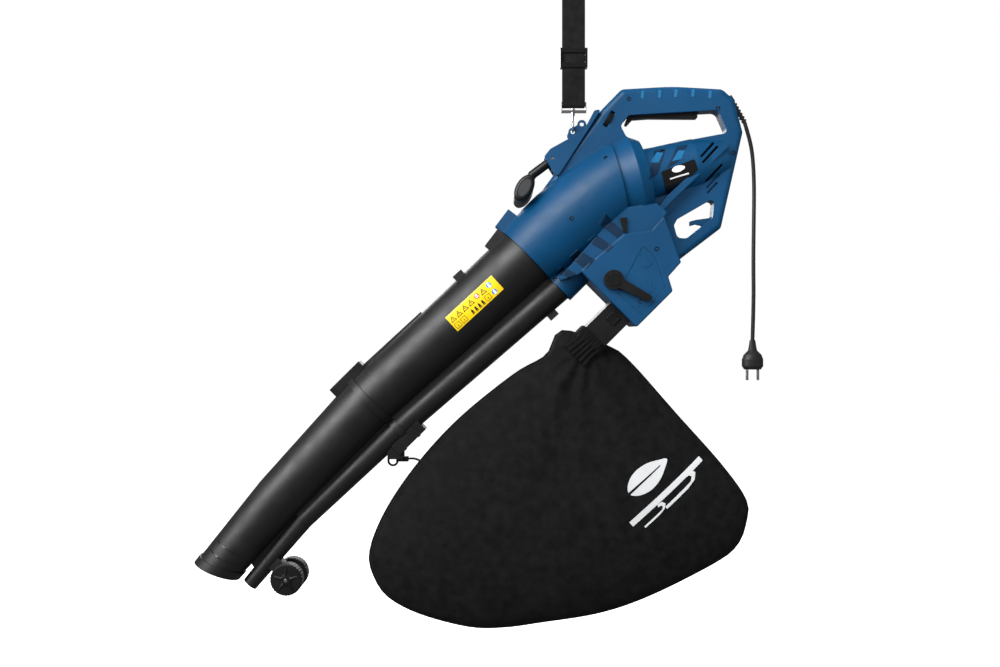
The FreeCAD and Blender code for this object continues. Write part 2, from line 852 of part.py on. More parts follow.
FAN_PLATE = (13.0, 16.0)
FRONT_BEARING = 17.0
STATOR_START = 46.0
COMMUTATOR_START = 98.0
BRUSH_START = 102.0
REAR_BEARING = 128.0
SHAFT_START = -27.0
motor_frame = Placement(motor, Rotation(motor_axis, Vector(0, 1, 0), above(size("motor_tilt")), "ZXY"))


def coaxial(start, end, outer, inner=0.0):
    """A disc or ring about the motor axis."""
    solid = Part.makeCylinder(outer, end - start, on_motor(start), motor_axis)
    if inner:
        solid = solid.cut(Part.makeCylinder(inner, end - start + 2, on_motor(start - 1), motor_axis))
    return solid


def motor_place(start):
    """A placement with its own Z along the motor axis."""
    return facing(motor_axis, on_motor(start))


def build_motor():
    """Motor, bearings and their holders."""
    shaft = size("shaft_radius")
    bearing = size("bearing_radius")
    width = size("bearing_width")
    plate_edge = size("drum_radius") - wall - 2.0
    plate = coaxial(*FAN_PLATE, plate_edge, shaft + 2)
    plate = plate.fuse(coaxial(FAN_PLATE[0], FRONT_BEARING + width, bearing + 4, shaft + 2))
    plate = plate.cut(coaxial(FRONT_BEARING, FRONT_BEARING + width + 1, bearing))
    modelled("fan_plate", plate)
    for label, start in (("bearing_front", FRONT_BEARING), ("bearing_rear", REAR_BEARING)):
        bore = "Sizes.shaft_radius + Sizes.seat_gap"
        ring_body(label, motor_place(start), "Sizes.bearing_radius", "Sizes.bearing_width", bore)
    bore = "Sizes.armature_radius + Sizes.rotor_gap"
    ring_body("stator", motor_place(STATOR_START), "Sizes.stator_radius", "Sizes.stator_length", bore)
    cradle = "Sizes.stator_radius + Sizes.cradle_thickness"
    place = motor_place(STATOR_START + 4)
    ring_body("motor_cradle", place, cradle, "Sizes.cradle_length", "Sizes.stator_radius")
    holder = coaxial(REAR_BEARING - 2, REAR_BEARING + width, bearing + 22, shaft + 2)
    modelled("bearing_holder", holder.cut(coaxial(REAR_BEARING, REAR_BEARING + width + 1, bearing)))
    inner = size("commutator_radius") + size("seat_gap")
    half = size("brush_width") / 2
    for label, low in (("brush_upper", inner), ("brush_lower", -size("brush_reach"))):
        corner = motor_frame.multiply(Placement(Vector(BRUSH_START, -half, low), Rotation()))
        reach = "Sizes.brush_reach - Sizes.commutator_radius - Sizes.seat_gap"
        piece(block(label, "Sizes.brush_width", "Sizes.brush_width", reach, corner), label)
    ring_body("motor_shaft", motor_place(SHAFT_START), "Sizes.shaft_radius", "Sizes.shaft_length")
    length = "Sizes.stator_length + Sizes.armature_spare"
    place = motor_place(STATOR_START - size("armature_spare") / 2)
    ring_body("armature", place, "Sizes.armature_radius", length, "Sizes.shaft_radius")
    place = motor_place(COMMUTATOR_START)
    ring_body("commutator", place, "Sizes.commutator_radius", "Sizes.commutator_length", "Sizes.shaft_radius")


def build_impeller():
    """The fan wheel, the nut that holds it and the guard in front of it."""
    shaft = size("shaft_radius")
    radius = size("impeller_radius")
    back = 8.0
    front = back - size("impeller_width")
    wheel = coaxial(back - size("impeller_disc"), back, radius).fuse(coaxial(front, back, 12.0))
    half = size("blade_thickness") / 2
    count = int(size("impeller_blades"))
    for step in range(count):
        blade = Part.makeBox(back - front - 1, 2 * half, radius - 10, Vector(front, -half, 10))
        spin = Placement(Vector(0, 0, 0), Rotation(Vector(1, 0, 0), step * 360 / count))
        blade.Placement = motor_frame.multiply(spin)
        wheel = wheel.fuse(blade)
    modelled("impeller", wheel.cut(coaxial(front - 1, back + 1, shaft)))
    place = motor_place(front - size("nut_length"))
    ring_body("impeller_nut", place, "Sizes.nut_radius", "Sizes.nut_length", "Sizes.shaft_radius")
    guard = coaxial(-35, -32, 62.5, 58.0).fuse(coaxial(-35, -32, 36.0, 32.0)).fuse(coaxial(-35, -32, 10.0))
    for step in range(4):
        spoke = Part.makeBox(3, 4, 52, Vector(-35, -2, 8))
        spin = Placement(Vector(0, 0, 0), Rotation(Vector(1, 0, 0), step * 90))
        spoke.Placement = motor_frame.multiply(spin)
        guard = guard.fuse(spoke)
    modelled("inlet_guard", guard)


# --- tubes and wheels ----------------------------------------------------------------------------

UPPER = size("upper_tube_angle")
LOWER = size("lower_tube_angle")
NOZZLE = size("nozzle_angle")
blow_top = below(collar, size("collar_tilt"), size("collar_tube_radius"), size("blow_collar_radius"))
blow_joint = below(joint, joint_tilt, size("joint_tube_radius"), size("blow_joint_radius"))
blow_bend = below(bend, bend_tilt, size("bend_tube_radius"), size("blow_bend_radius"))
blow_end = below(
    mouth, NOZZLE, size("mouth_tube_radius"), size("blow_end_radius"), size("blow_end_gap")
) - down_left(NOZZLE) * size("blow_short")
axle = blow_end - down_left(NOZZLE) * size("axle_back") - above(NOZZLE) * size("axle_drop")


def upper_air(grow):
    """Both air ways of the upper tube, grown by a wall or shrunk."""
    big = lofted([
        ring_wire(collar, down_left(size("collar_tilt")), size("collar_tube_radius") + grow),
        ring_wire(joint, down_left(joint_tilt), size("joint_tube_radius") + grow),
    ])
    small = lofted([
        ring_wire(blow_top, down_left(size("collar_tilt")), size("blow_collar_radius") + grow),
        ring_wire(blow_joint, down_left(joint_tilt), size("blow_joint_radius") + grow),
    ])
    return big, small


def lower_air(grow):
    """Both air ways of the lower tube, grown by a wall or shrunk."""
    big = lofted([
        ring_wire(joint, down_left(joint_tilt), size("joint_tube_radius") + grow),
        ring_wire(bend, down_left(bend_tilt), size("bend_tube_radius") + grow),
    ]).fuse(lofted([
        ring_wire(bend, down_left(bend_tilt), size("bend_tube_radius") + grow),
        ring_wire(mouth, down_left(NOZZLE + size("mouth_slant")), size("mouth_tube_radius") + grow),
    ]))
    small = lofted([
        ring_wire(blow_joint, down_left(joint_tilt), size("blow_joint_radius") + grow),
        ring_wire(blow_bend, down_left(bend_tilt), size("blow_bend_radius") + grow),
    ]).fuse(lofted([
        ring_wire(blow_bend, down_left(bend_tilt), size("blow_bend_radius") + grow),
        ring_wire(blow_end, down_left(NOZZLE), size("blow_end_radius") + grow),
    ]))
    return big, small


def web(start, end, low_start, low_end, half):
    """A flat web between the two air ways."""
    points = [(start.x, start.z), (end.x, end.z), (low_end.x, low_end.z), (low_start.x, low_start.z)]
    wire = Part.makePolygon([Vector(x, -half, z) for x, z in points + points[:1]])
    return Part.Face(wire).extrude(Vector(0, 2 * half, 0))


def tube_rail():
    """The raised strip along the top of the upper tube."""
    half = size("rail_width") / 2
    height = size("joint_tube_radius") + size("rail_height")
    return own_box(tube_frame(joint, UPPER), (-170, -half, 30), (-30, half, height))


def build_upper_tube():
    """The tube section next to the housing."""
    thick = size("tube_wall")
    outer_big, outer_small = upper_air(0)
    inner_big, inner_small = upper_air(-thick)
    body = outer_big.fuse(outer_small).fuse(web(collar, joint, blow_top, blow_joint, 17))
    length = size("upper_tube_length")
    rail = tube_rail()
    catch = own_box(tube_frame(collar, 52.8), (-6, -15, 30), (30, 15, 70))
    knob = own_box(tube_frame(collar, UPPER), (length * 0.27, -8, 40), (length * 0.27 + 20, 8, 62))
    foot = own_box(tube_frame(blow_top, UPPER), (30, -9, -34), (48, 9, 0))
    flange = outer_flange(joint, blow_joint, joint_tilt, -6, 0)
    body = body.multiFuse([rail, catch, knob, foot, flange])
    sleeve_big = sleeve(joint, size("joint_tube_radius"))
    sleeve_small = sleeve(blow_joint, size("blow_joint_radius"))
    body = body.cut(inner_big).cut(inner_small).multiFuse([sleeve_big, sleeve_small])
    keep = Part.makeBox(900, 400, 900, Vector(0, -200, -450))
    keep.Placement = tube_frame(collar, size("collar_tilt"))
    body = body.common(keep)
    modelled("upper_tube", body.removeSplitter())


def sleeve(centre, radius):
    """The spigot of the upper tube that plugs into the lower one."""
    outer = radius - size("tube_wall") - 4 * gap
    length = size("sleeve_length")
    start = centre - down_left(joint_tilt) * 8
    taper = 0.03 * length
    body = Part.makeCone(outer, outer - taper, length, centre, down_left(joint_tilt))
    root = Part.makeCylinder(outer + 1.6, 8, start, down_left(joint_tilt))
    bore = Part.makeCylinder(outer - taper - 1.6, length + 16, start, down_left(joint_tilt))
    return body.fuse(root).cut(bore)


def outer_flange(centre, low_centre, tilt, start, end):
    """A raised band round both air ways."""
    grow = 3.5
    direction = down_left(tilt)
    big = Part.makeCylinder(
        size("joint_tube_radius") + grow, end - start, centre + direction * start, direction
    )
    small = Part.makeCylinder(
        size("blow_joint_radius") + grow, end - start, low_centre + direction * start, direction
    )
    return big.fuse(small)


def build_lower_tube():
    """The tube section with the nozzle."""
    thick = size("tube_wall")
    outer_big, outer_small = lower_air(0)
    inner_big, inner_small = lower_air(-thick)
    body = outer_big.fuse(outer_small).fuse(web(joint, bend, blow_joint, blow_bend, 13))
    near_end = blow_end - down_left(NOZZLE) * 25
    big_end = mouth - down_left(NOZZLE) * 60
    body = body.fuse(web(bend, big_end, blow_bend, near_end, 8))
    strut_half = size("wheel_gap") / 2 - 1.5
    frame = tube_frame(axle, NOZZLE)
    strut = own_box(frame, (-13, -strut_half, 0), (11, strut_half, size("axle_drop")))
    strut = strut.fuse(rod_shape(11.0, axle, strut_half))
    body = body.fuse(strut).fuse(outer_flange(joint, blow_joint, joint_tilt, 0, 6))
    body = body.cut(inner_big).cut(inner_small).cut(rod_shape(size("axle_radius"), axle, 60))
    modelled("lower_tube", body.removeSplitter())
    rim_back = mouth - down_left(NOZZLE) * 16
    facing_out = down_left(NOZZLE + size("mouth_slant"))
    outer = lofted([
        ring_wire(rim_back, facing_out, size("mouth_tube_radius") + 3.2),
        ring_wire(mouth, facing_out, size("mouth_tube_radius") + size("lip_height")),
    ])
    modelled("nozzle_rim", outer.cut(outer_big))


def build_joint_clips():
    """The two clamps that hold the tube halves together, and their screws."""
    frame = tube_frame(joint, joint_tilt)
    half = size("clip_width") / 2
    top = size("joint_tube_radius")
    upper = own_box(frame, (-34, -half, top - 6), (38, half, top + 13))
    low = -(top + 2 * size("blow_joint_radius"))
    lower = own_box(frame, (-34, -half, low - 11), (30, half, low + 10))
    tubes = outer_flange(joint, blow_joint, joint_tilt, -6, 6).multiFuse(
        [*upper_air(0), *lower_air(0), web(collar, joint, blow_top, blow_joint, 17), tube_rail()]
    )
    screws = []
    rods = []
    length = size("clip_screw_length")
    for along in (-16, 18):
        for start in (top + 4, low - 12.5):
            base = frame.multVec(Vector(along, 0, start))
            place = facing(above(joint_tilt), base)
            name = f"screw_{len(rods)}"
            rods.append(rod(name, "Sizes.clip_screw_radius", "Sizes.clip_screw_length", place))
            screws.append(Part.makeCylinder(size("clip_screw_radius"), length, base, above(joint_tilt)))
    holes = screws[0].multiFuse(screws[1:])
    eye_bar = joint + EYE_BAR
    cheeks = []
    for side in (-14, 10):
        shape = own_box(Placement(eye_bar, Rotation()), (-6.7, side, -4), (21.3, side + 4, 44))
        cheeks.append(shape)
    bar = rod_shape(2.0, eye_bar, 12)
    lower = lower.multiFuse(cheeks + [bar])
    modelled("joint_clip_upper", biggest(upper.cut(tubes).cut(holes)))
    modelled("joint_clip_lower", biggest(lower.cut(tubes).cut(holes)))
    piece(fuse("clip_screws", rods), "clip_screws")


def build_label():
    """The safety label, a thin curved plate on the side of the upper tube."""
    skin, _ = upper_air(0.5)
    under, _ = upper_air(0)
    area = own_box(tube_frame(collar, UPPER), (70, 20, -16), (178, 80, 16))
    modelled("safety_label", skin.cut(under).common(area))


def build_wheels():
    """Two wheels on one axle under the nozzle."""
    radius = size("wheel_radius")
    width = size("wheel_width")
    inner = size("wheel_gap") / 2
    half = inner + width + 4
    start = across(axle.x, axle.z, -half)
    ring_body("wheel_axle", start, "Sizes.axle_radius", "Sizes.wheel_gap + 2 * Sizes.wheel_width + 8")
    caps = []
    for label, start, sign in (("wheel_left", -inner - width, -1), ("wheel_right", inner, 1)):
        base = axle + Vector(0, start, 0)
        wheel = Part.makeCylinder(radius, width, base, Vector(0, 1, 0))
        wheel = wheel.makeChamfer(2.0, [edge for edge in wheel.Edges if edge.Closed])
        for step in range(30):
            turn = math.radians(step * 12)
            place = base + Vector(math.cos(turn) * radius, -1, math.sin(turn) * radius)
            wheel = wheel.cut(Part.makeCylinder(1.1, width + 2, place, Vector(0, 1, 0)))
        middle = axle + Vector(0, start + width / 2, 0)
        bore = rod_shape(size("axle_radius") + size("seat_gap"), middle, width)
        modelled(label, wheel.cut(bore))
        face = start - size("cap_height") if sign < 0 else start + width
        place = across(axle.x, axle.z, face + sign * size("cap_gap"))
        disc = rod(f"{label}_cap", "Sizes.cap_radius", "Sizes.cap_height", place)
        hole = rod(f"{label}_cap_bore", "Sizes.axle_radius", "Sizes.cap_height", place)
        caps.append(cut(f"{label}_cap_ring", disc, hole))
    piece(fuse("axle_caps", caps), "axle_caps")


# --- bag -----------------------------------------------------------------------------------------

BAG_SHAPE = [
    (0.50, 0.93), (0.44, 0.87), (0.388, 0.821), (0.262, 0.698), (0.166, 0.582), (0.085, 0.456),
    (0.029, 0.339), (0.0, 0.229), (0.04, 0.097), (0.135, 0.042), (0.262, 0.0), (0.452, 0.016),
    (0.61, 0.048), (0.748, 0.106), (0.919, 0.213), (0.974, 0.27), (0.997, 0.34), (1.0, 0.415),
    (0.70, 0.83), (0.64, 0.89),
]
CHUTE_END = size("box_mouth") - size("chute_inserted") + size("chute_length")
bag_left = in_box(CHUTE_END, -48).x - 0.53 * size("bag_width")
bag_low = in_box(CHUTE_END, -48).z - 0.90 * size("bag_height")


def chute_box(start, end, grow):
    """A box round the chute's section, grown on every side."""
    half = size("chute_depth") / 2 + grow
    low = -size("chute_low_edge") - grow
    high = -size("chute_low_edge") + size("chute_height") + grow
    return own_box(box_frame, (start, -half, low), (end, half, high))


def bag_layer(shrink, y, inset):
    """One outline of the bag at width y, drawn in towards its middle."""
    middle_x = bag_left + 0.5 * size("bag_width")
    middle_z = bag_low + 0.42 * size("bag_height")
    points = []
    for across_part, up_part in BAG_SHAPE:
        x = bag_left + across_part * size("bag_width") - middle_x
        z = bag_low + up_part * size("bag_height") - middle_z
        scale = shrink * (1 - inset / math.hypot(x, z))
        points.append(Vector(middle_x + x * scale, y, middle_z + z * scale))
    return Part.makePolygon(points + points[:1])


def bag_volume(inset):
    """The bag's outside, or its inside when inset by the wall."""
    half = size("bag_thickness") / 2 - inset
    side = 14.0
    pillow = lofted([bag_layer(0.66, -half, inset), bag_layer(0.93, -half + side, inset),
                     bag_layer(1.0, -2, inset), bag_layer(1.0, 2, inset),
                     bag_layer(0.93, half - side, inset), bag_layer(0.66, half, inset)])
    return pillow.fuse(chute_box(CHUTE_END - 26, CHUTE_END + 70, 8 - inset))


def chute_block(name, start, length, spare):
    """A box round the chute's section, with its sizes bound to the sheet."""
    grow = size(spare) if spare in SIZES else float(spare)
    term = f"Sizes.{spare}" if spare in SIZES else spare
    low = -size("chute_low_edge") - grow
    corner = box_frame.multiply(Placement(Vector(start, -size("chute_depth") / 2 - grow, low), Rotation()))
    width = f"Sizes.chute_depth + 2 * ({term})"
    height = f"Sizes.chute_height + 2 * ({term})"
    return block(name, length, width, height, corner)


def build_bag():
    """Chute, latch, bag, neck band, tape loop and hook."""
    start = size("box_mouth") - size("chute_inserted")
    outside = chute_block("chute_outside", start, "Sizes.chute_length", "0")
    thick = size("chute_wall")
    corner = Vector(start - 1, thick - size("chute_depth") / 2, thick - size("chute_low_edge"))
    bore = block(
        "chute_bore", "Sizes.chute_length + 2", "Sizes.chute_depth - 2 * Sizes.chute_wall",
        "Sizes.chute_height - 2 * Sizes.chute_wall", box_frame.multiply(Placement(corner, Rotation())),
    )
    pad_frame = box_frame.multiply(Placement(Vector(46, size("chute_depth") / 2, -47), Rotation()))
    half = size("latch_size") / 2
    span = "Sizes.latch_size + 2 * Sizes.fit_gap"
    corner = pad_frame.multiply(Placement(Vector(-half - gap, -6, -half - gap), Rotation()))
    room = block("latch_room", span, "10", span, corner)
    piece(cut("bag_chute", cut("chute_wall_box", outside, bore), room), "bag_chute")
    corner = pad_frame.multiply(Placement(Vector(-half, -size("chute_wall"), -half), Rotation()))
    tall = "Sizes.chute_wall + Sizes.latch_rise"
    button = block("latch_blank", "Sizes.latch_size", tall, "Sizes.latch_size", corner)
    rib = size("latch_rib")
    grooves = []
    for step in (-2, -1, 0, 1, 2):
        middle = step * size("latch_pitch")
        corner = Vector(middle - rib / 2, size("latch_rise") - rib, 2 - half)
        place = pad_frame.multiply(Placement(corner, Rotation()))
        name = f"latch_groove_{len(grooves)}"
        grooves.append(block(name, "Sizes.latch_rib", "2 * Sizes.latch_rib", "Sizes.latch_size - 4", place))
    piece(cut("latch_button", button, fuse("latch_grooves", grooves)), "latch_button")
    around = chute_block("band_outside", CHUTE_END - 20, "Sizes.band_width", "band_thickness")
    inside = chute_block("band_inside", CHUTE_END - 21, "Sizes.band_width + 2", "0")
    piece(cut("neck_band", around, inside), "neck_band")
    bag = bag_volume(0).cut(bag_volume(size("bag_wall")))
    bag = bag.cut(chute_box(CHUTE_END - 60, CHUTE_END + 6, size("band_thickness") + gap))
    modelled("bag", bag)
    build_bag_hook()


def build_bag_hook():
    """The wire hook that holds the bag's far corner to the tube, and its tape loop."""
    wire = 2.0
    bowl = joint + EYE_BAR + Vector(1.8, 0, -8)
    reach = 8.0
    curve = Part.makeTorus(reach, wire, Vector(0, 0, 0), Vector(0, 0, 1), -180, 180, 180)
    curve.Placement = Placement(bowl, Rotation(Vector(-1, 0, 0), Vector(0, 0, -1), Vector(0, -1, 0), "ZXY"))
    shank = Part.makeCylinder(wire, 6, bowl + Vector(reach, 0, 0), Vector(0, 0, 1))
    tip = Part.makeCylinder(wire, 3, bowl + Vector(-reach, 0, 0), Vector(0, 0, 1))
    body = own_box(Placement(bowl, Rotation()), (5.9, -5, -1), (27.5, 5, 8))
    modelled("bag_hook", curve.multiFuse([shank, tip, body]).removeSplitter())
    held = bowl.x + 27.5
    tape = slab([
        (held, bowl.z + 9), (held + 24, bowl.z + 6), (-258, -858), (-270, -862),
        (held + 12, bowl.z - 4), (held, bowl.z - 2),
    ], 2, -8, 8)
    modelled("tape_loop", tape.cut(bag_volume(0)))


# --- strap, hook and lead ------------------------------------------------------------------------

STRAP_INNER = size("bar_radius") + gap
STRAP_OUTER = STRAP_INNER + size("strap_thickness")
STRAP_RISE = "Sizes.bar_radius + Sizes.fit_gap + Sizes.strap_thickness"
bar_middle = Vector(0, 0, size("strap_bar_z"))
strap_top = Vector(0, 0, -STRAP_OUTER)


def stadium(name, radius, value, half, spare):
    """A flat loop's outside or inside, along X, from the bar to the bight."""
    width = f"Sizes.strap_width + {spare}"
    start = Vector(-half, 0, 0)
    along = Rotation(Vector(0, 0, 1), Vector(1, 0, 0))
    low = rod(f"{name}_low", radius, width, Placement(bar_middle + start, along))
    high = rod(f"{name}_high", radius, width, Placement(strap_top + start, along))
    corner = Placement(bar_middle + start - Vector(0, value, 0), Rotation())
    rise = f"-Sizes.strap_bar_z - ({STRAP_RISE})"
    middle = block(f"{name}_middle", width, f"2 * ({radius})", rise, corner)
    return fuse(name, [low, high, middle])


GATE_HINGE = 302.0


def centred(name, length, width, height, sizes):
    """A bound box about the slide buckle's middle."""
    corner = Vector(-sizes[0] / 2, -sizes[1] / 2, size("slider_z") - sizes[2] / 2)
    return block(name, length, width, height, Placement(corner, Rotation()))


def build_slider():
    """The slide buckle, a frame round both layers of webbing with a bar between them."""
    rim = size("slider_rim")
    width = size("strap_width")
    depth = size("slider_depth")
    tall = size("slider_height")
    wide = "Sizes.strap_width + 2 * Sizes.slider_rim"
    slot = "Sizes.strap_width + 1"
    room = "2 * (Sizes.bar_radius + Sizes.fit_gap + Sizes.strap_thickness + 0.4)"
    full = width + 2 * rim
    frame = centred("slider_frame", wide, "Sizes.slider_depth", "Sizes.slider_height", (full, depth, tall))
    reach = 2 * STRAP_OUTER + 0.8
    way = centred("slider_way", slot, room, "Sizes.slider_height + 2", (width + 1, reach, tall + 2))
    window = size("slider_window")
    through = centred("slider_through", slot, "Sizes.slider_depth + 2", "Sizes.slider_window",
                      (width + 1, depth + 2, window))
    core = "2 * (Sizes.bar_radius + Sizes.fit_gap - 0.5)"
    thick = 2 * STRAP_INNER - 1
    bar = centred("slider_core", wide, core, "Sizes.slider_bar", (full, thick, size("slider_bar")))
    opened = cut("slider_opened", cut("slider_sleeve", frame, way), through)
    piece(fuse("strap_slider", [opened, bar]), "strap_slider")


def build_strap():
    """The webbing loop, its slide buckle and the chrome hook."""
    half = size("strap_width") / 2
    inner = "Sizes.bar_radius + Sizes.fit_gap"
    outside = stadium("strap_outside", inner + " + Sizes.strap_thickness", STRAP_OUTER, half, "0")
    inside = stadium("strap_inside", inner, STRAP_INNER, half + 1, "2")
    piece(cut("strap", outside, inside), "strap")
    build_slider()
    reach = half + size("hook_cheek") + 0.4
    radius = size("bar_radius")
    wide = "Sizes.strap_width + 2 * Sizes.hook_cheek + 0.8"
    along = Rotation(Vector(0, 0, 1), Vector(1, 0, 0))
    bar = rod("hook_bar", "Sizes.bar_radius", wide, Placement(bar_middle - Vector(reach, 0, 0), along))
    floor = bar_middle.z - STRAP_OUTER - radius
    under = floor - size("hook_base")
    rise = f"2 * Sizes.bar_radius + {STRAP_RISE} + Sizes.hook_base"
    cheeks = []
    for x in (-reach, reach - size("hook_cheek")):
        corner = Placement(Vector(x, -radius, under), Rotation())
        name = f"hook_cheek_{len(cheeks)}"
        cheeks.append(block(name, "Sizes.hook_cheek", "2 * Sizes.bar_radius", rise, corner))
    corner = Placement(Vector(-reach, -size("hook_depth") / 2, under), Rotation())
    base = block("hook_foot", wide, "Sizes.hook_depth", "Sizes.hook_base", corner)
    stem = size("hook_wire")
    top = lug_hole + Vector(0, 0, 0.8)
    place = Placement(Vector(top.x, 0, under - 3), Rotation())
    hole = rod("hook_bore", "Sizes.hook_wire + Sizes.seat_gap", "Sizes.hook_base + 6", place)
    piece(cut("hook_frame", fuse("hook_blank", [bar, base] + cheeks), hole), "hook_frame")
    ring = 9.0
    centre = top + Vector(0, 0, ring)
    head = Part.makeCylinder(4.4, 2.6, Vector(top.x, 0, floor + 0.1))
    rod_part = Part.makeCylinder(stem, floor + 0.2 - centre.z - ring, centre + Vector(0, 0, ring))
    collar_part = Part.makeCylinder(4.0, 5, Vector(top.x, 0, floor - 4.1 - 5))
    hook = Part.makeTorus(ring, stem, Vector(0, 0, 0), Vector(0, 0, 1), -180, 180, GATE_HINGE - 2)
    hook.Placement = Placement(centre, Rotation(Vector(0, 0, 1), Vector(0, 1, 0), Vector(-1, 0, 0), "ZXY"))
    modelled("snap_hook", hook.multiFuse([rod_part, head, collar_part]).removeSplitter())
    gate = Part.makeTorus(ring, stem - 0.5, Vector(0, 0, 0), Vector(0, 0, 1), -180, 180, 34)
    start = Placement(Vector(0, 0, 0), Rotation(Vector(0, 0, 1), GATE_HINGE + 2))
    gate.Placement = hook.Placement.multiply(start)
    modelled("hook_gate", gate)


CORD_ROUTE = [
    (303.2, 0, -243.6), (311.5, -1, -272), (317.5, 1, -303), (320.5, 3, -352), (319.5, 2, -420),
    (317.8, -2, -490), (318.6, -2, -560), (316.8, 0, -628.4),
]


def cord_tube(route, radius):
    """A round cord through its route, with every bend as wide as its runs allow."""
    points = [Vector(*here) for here in route]
    start = points[0]
    edges = []
    length = 0.0
    for index in range(1, len(points) - 1):
        corner = points[index]
        before = points[index - 1] - corner
        after = points[index + 1] - corner
        reach = 0.45 * min(before.Length, after.Length)
        turn = math.pi - before.getAngle(after)
        bow = reach / math.tan(turn / 2)
        first = corner + Vector(before).normalize() * reach
        last = corner + Vector(after).normalize() * reach
        inward = (Vector(before).normalize() + Vector(after).normalize()).normalize()
        middle = corner + inward * (bow / math.cos(turn / 2) - bow)
        edges.append(Part.LineSegment(start, first).toShape())
        edges.append(Part.Arc(first, middle, last).toShape())
        print("cord bend radius", round(bow, 1))
        start = last
    edges.append(Part.LineSegment(start, points[-1]).toShape())
    for edge in edges:
        length += edge.Length
    spine = Part.Wire(edges)
    section = ring_wire(points[0], points[1] - points[0], radius)
    tube = spine.makePipeShell([section], True, True)
    ratio = tube.Volume / (math.pi * radius * radius * length)
    print("cord length", round(length, 1), "volume ratio", round(ratio, 4))
    return tube


def build_lead():
    """The strain relief, the mains lead and its plug."""
    tail = size("cord_radius")
    profile = [(-RELIEF_BURIED, 0), (-RELIEF_BURIED, RELIEF_RADIUS), (2, RELIEF_RADIUS)]
    ribs = 6
    for step in range(ribs):
        low = 4 + step * 6.5
        rise = RELIEF_RADIUS - step * 0.3
        profile += [(low, rise - 1.6), (low + 2.2, rise - 1.6), (low + 2.7, rise), (low + 6, rise)]
    end = profile[-1][0]
    profile += [(end, 0)]
    relief = turned(profile, relief_foot, RELIEF_AXIS)
    modelled("strain_relief", relief)
    foot = relief_foot + RELIEF_AXIS * end
    route = [(foot.x, foot.y, foot.z)] + CORD_ROUTE[1:]
    print("cord starts at", [round(value, 2) for value in foot])
    top = Vector(*CORD_ROUTE[-1])
    length = size("plug_length")
    half = size("plug_width") / 2
    outline = [
        (0, 0), (0, 5), (10, 6.5), (18, 8), (26, half - 3), (34, half), (length, half),
        (length + 6, half - 4), (length + 6, 0),
    ]
    shape = turned(outline, Vector(0, 0, 0), Vector(0, 0, -1))
    flatten = FreeCAD.Matrix()
    flatten.scale(1, 0.72, 1)
    body = shape.transformGeometry(flatten)
    body.translate(top)
    modelled("plug_body", body)
    modelled("mains_lead", cord_tube(route, tail).cut(relief).cut(body))
    base = top - Vector(0, 0, length + 6)
    pins = []
    for side in (-1, 1):
        place = facing(Vector(0, 0, -1), base + Vector(side * size("plug_pin_spacing") / 2, 0, 0))
        name = f"plug_pin_{len(pins)}"
        pins.append(rod(name, "Sizes.plug_pin_radius", "Sizes.plug_pin_length", place))
    piece(fuse("plug_pins", pins), "plug_pins")


build_trim()
build_bracket(build_lug())
build_second_handle()
build_controls()
build_selector()
build_motor()
build_impeller()
build_upper_tube()
build_lower_tube()
build_joint_clips()
build_label()
build_wheels()
build_bag()
build_strap()
build_lead()

doc.recompute()
for item in doc.Objects:
    faults = {"Invalid", "Error"}.intersection(item.State)
    if faults:
        raise RuntimeError(f"{item.Label} is not made: {sorted(faults)}")
for item in pieces:
    if item.Shape.isNull() or not item.Shape.isValid():
        raise RuntimeError(f"{item.Label} has no valid shape")

os.makedirs("parts", exist_ok=True)
for item in pieces:
    print(item.Label, len(item.Shape.Solids), round(item.Shape.Volume, 1))
    item.Shape.exportStep(f"parts/{item.Label}.step")
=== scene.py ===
"""The looks of a corded leaf blower and vacuum that hangs from its shoulder strap.

Metres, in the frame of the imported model: +Z up, +X towards the grip, the operator's left at -Y.
The origin is the held point of the strap.
"""

import json
import logging
import math
from dataclasses import dataclass
from enum import Enum

import bmesh
import bpy
from mathutils import Matrix, Vector, noise
from mathutils.bvhtree import BVHTree


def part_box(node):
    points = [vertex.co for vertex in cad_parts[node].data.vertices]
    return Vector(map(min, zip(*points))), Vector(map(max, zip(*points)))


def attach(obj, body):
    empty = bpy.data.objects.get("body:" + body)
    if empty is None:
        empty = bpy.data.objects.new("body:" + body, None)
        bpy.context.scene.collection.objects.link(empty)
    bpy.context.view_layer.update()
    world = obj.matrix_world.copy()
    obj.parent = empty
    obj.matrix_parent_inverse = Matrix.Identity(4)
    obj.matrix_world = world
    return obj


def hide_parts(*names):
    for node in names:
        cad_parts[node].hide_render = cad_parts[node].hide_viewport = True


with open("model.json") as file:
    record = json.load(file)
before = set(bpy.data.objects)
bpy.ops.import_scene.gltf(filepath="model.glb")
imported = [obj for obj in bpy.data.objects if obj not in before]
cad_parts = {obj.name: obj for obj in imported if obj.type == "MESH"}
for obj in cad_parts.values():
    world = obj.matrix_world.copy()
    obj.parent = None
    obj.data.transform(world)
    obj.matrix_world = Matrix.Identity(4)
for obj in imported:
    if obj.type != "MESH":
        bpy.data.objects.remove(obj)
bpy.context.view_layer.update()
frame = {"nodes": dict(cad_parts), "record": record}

logging.basicConfig(level=logging.INFO, format="%(message)s")
LOG = logging.getLogger("leaf_blower")

VIEW_WIDTH = 1.77
CAMERA_DISTANCE = 2.0
SENSOR_WIDTH = 36.0
CAMERA_SPOT = Vector((-0.1301, 0.0, -0.6168))


class Body(str, Enum):
    """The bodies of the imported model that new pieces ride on."""

    MACHINE = "machine"
    BAG = "bag_unit"
    STRAP = "strap_loop"
    SLIDER = "slider"
    DIAL = "dial"
    SELECTOR = "selector"
    LEFT_WHEEL = "left_wheel"
    RIGHT_WHEEL = "right_wheel"


class Weave(Enum):
    """How the threads of a cloth cross."""

    PLAIN = 1
    TWILL = 2


# --- finishes ------------------------------------------------------------------------------------


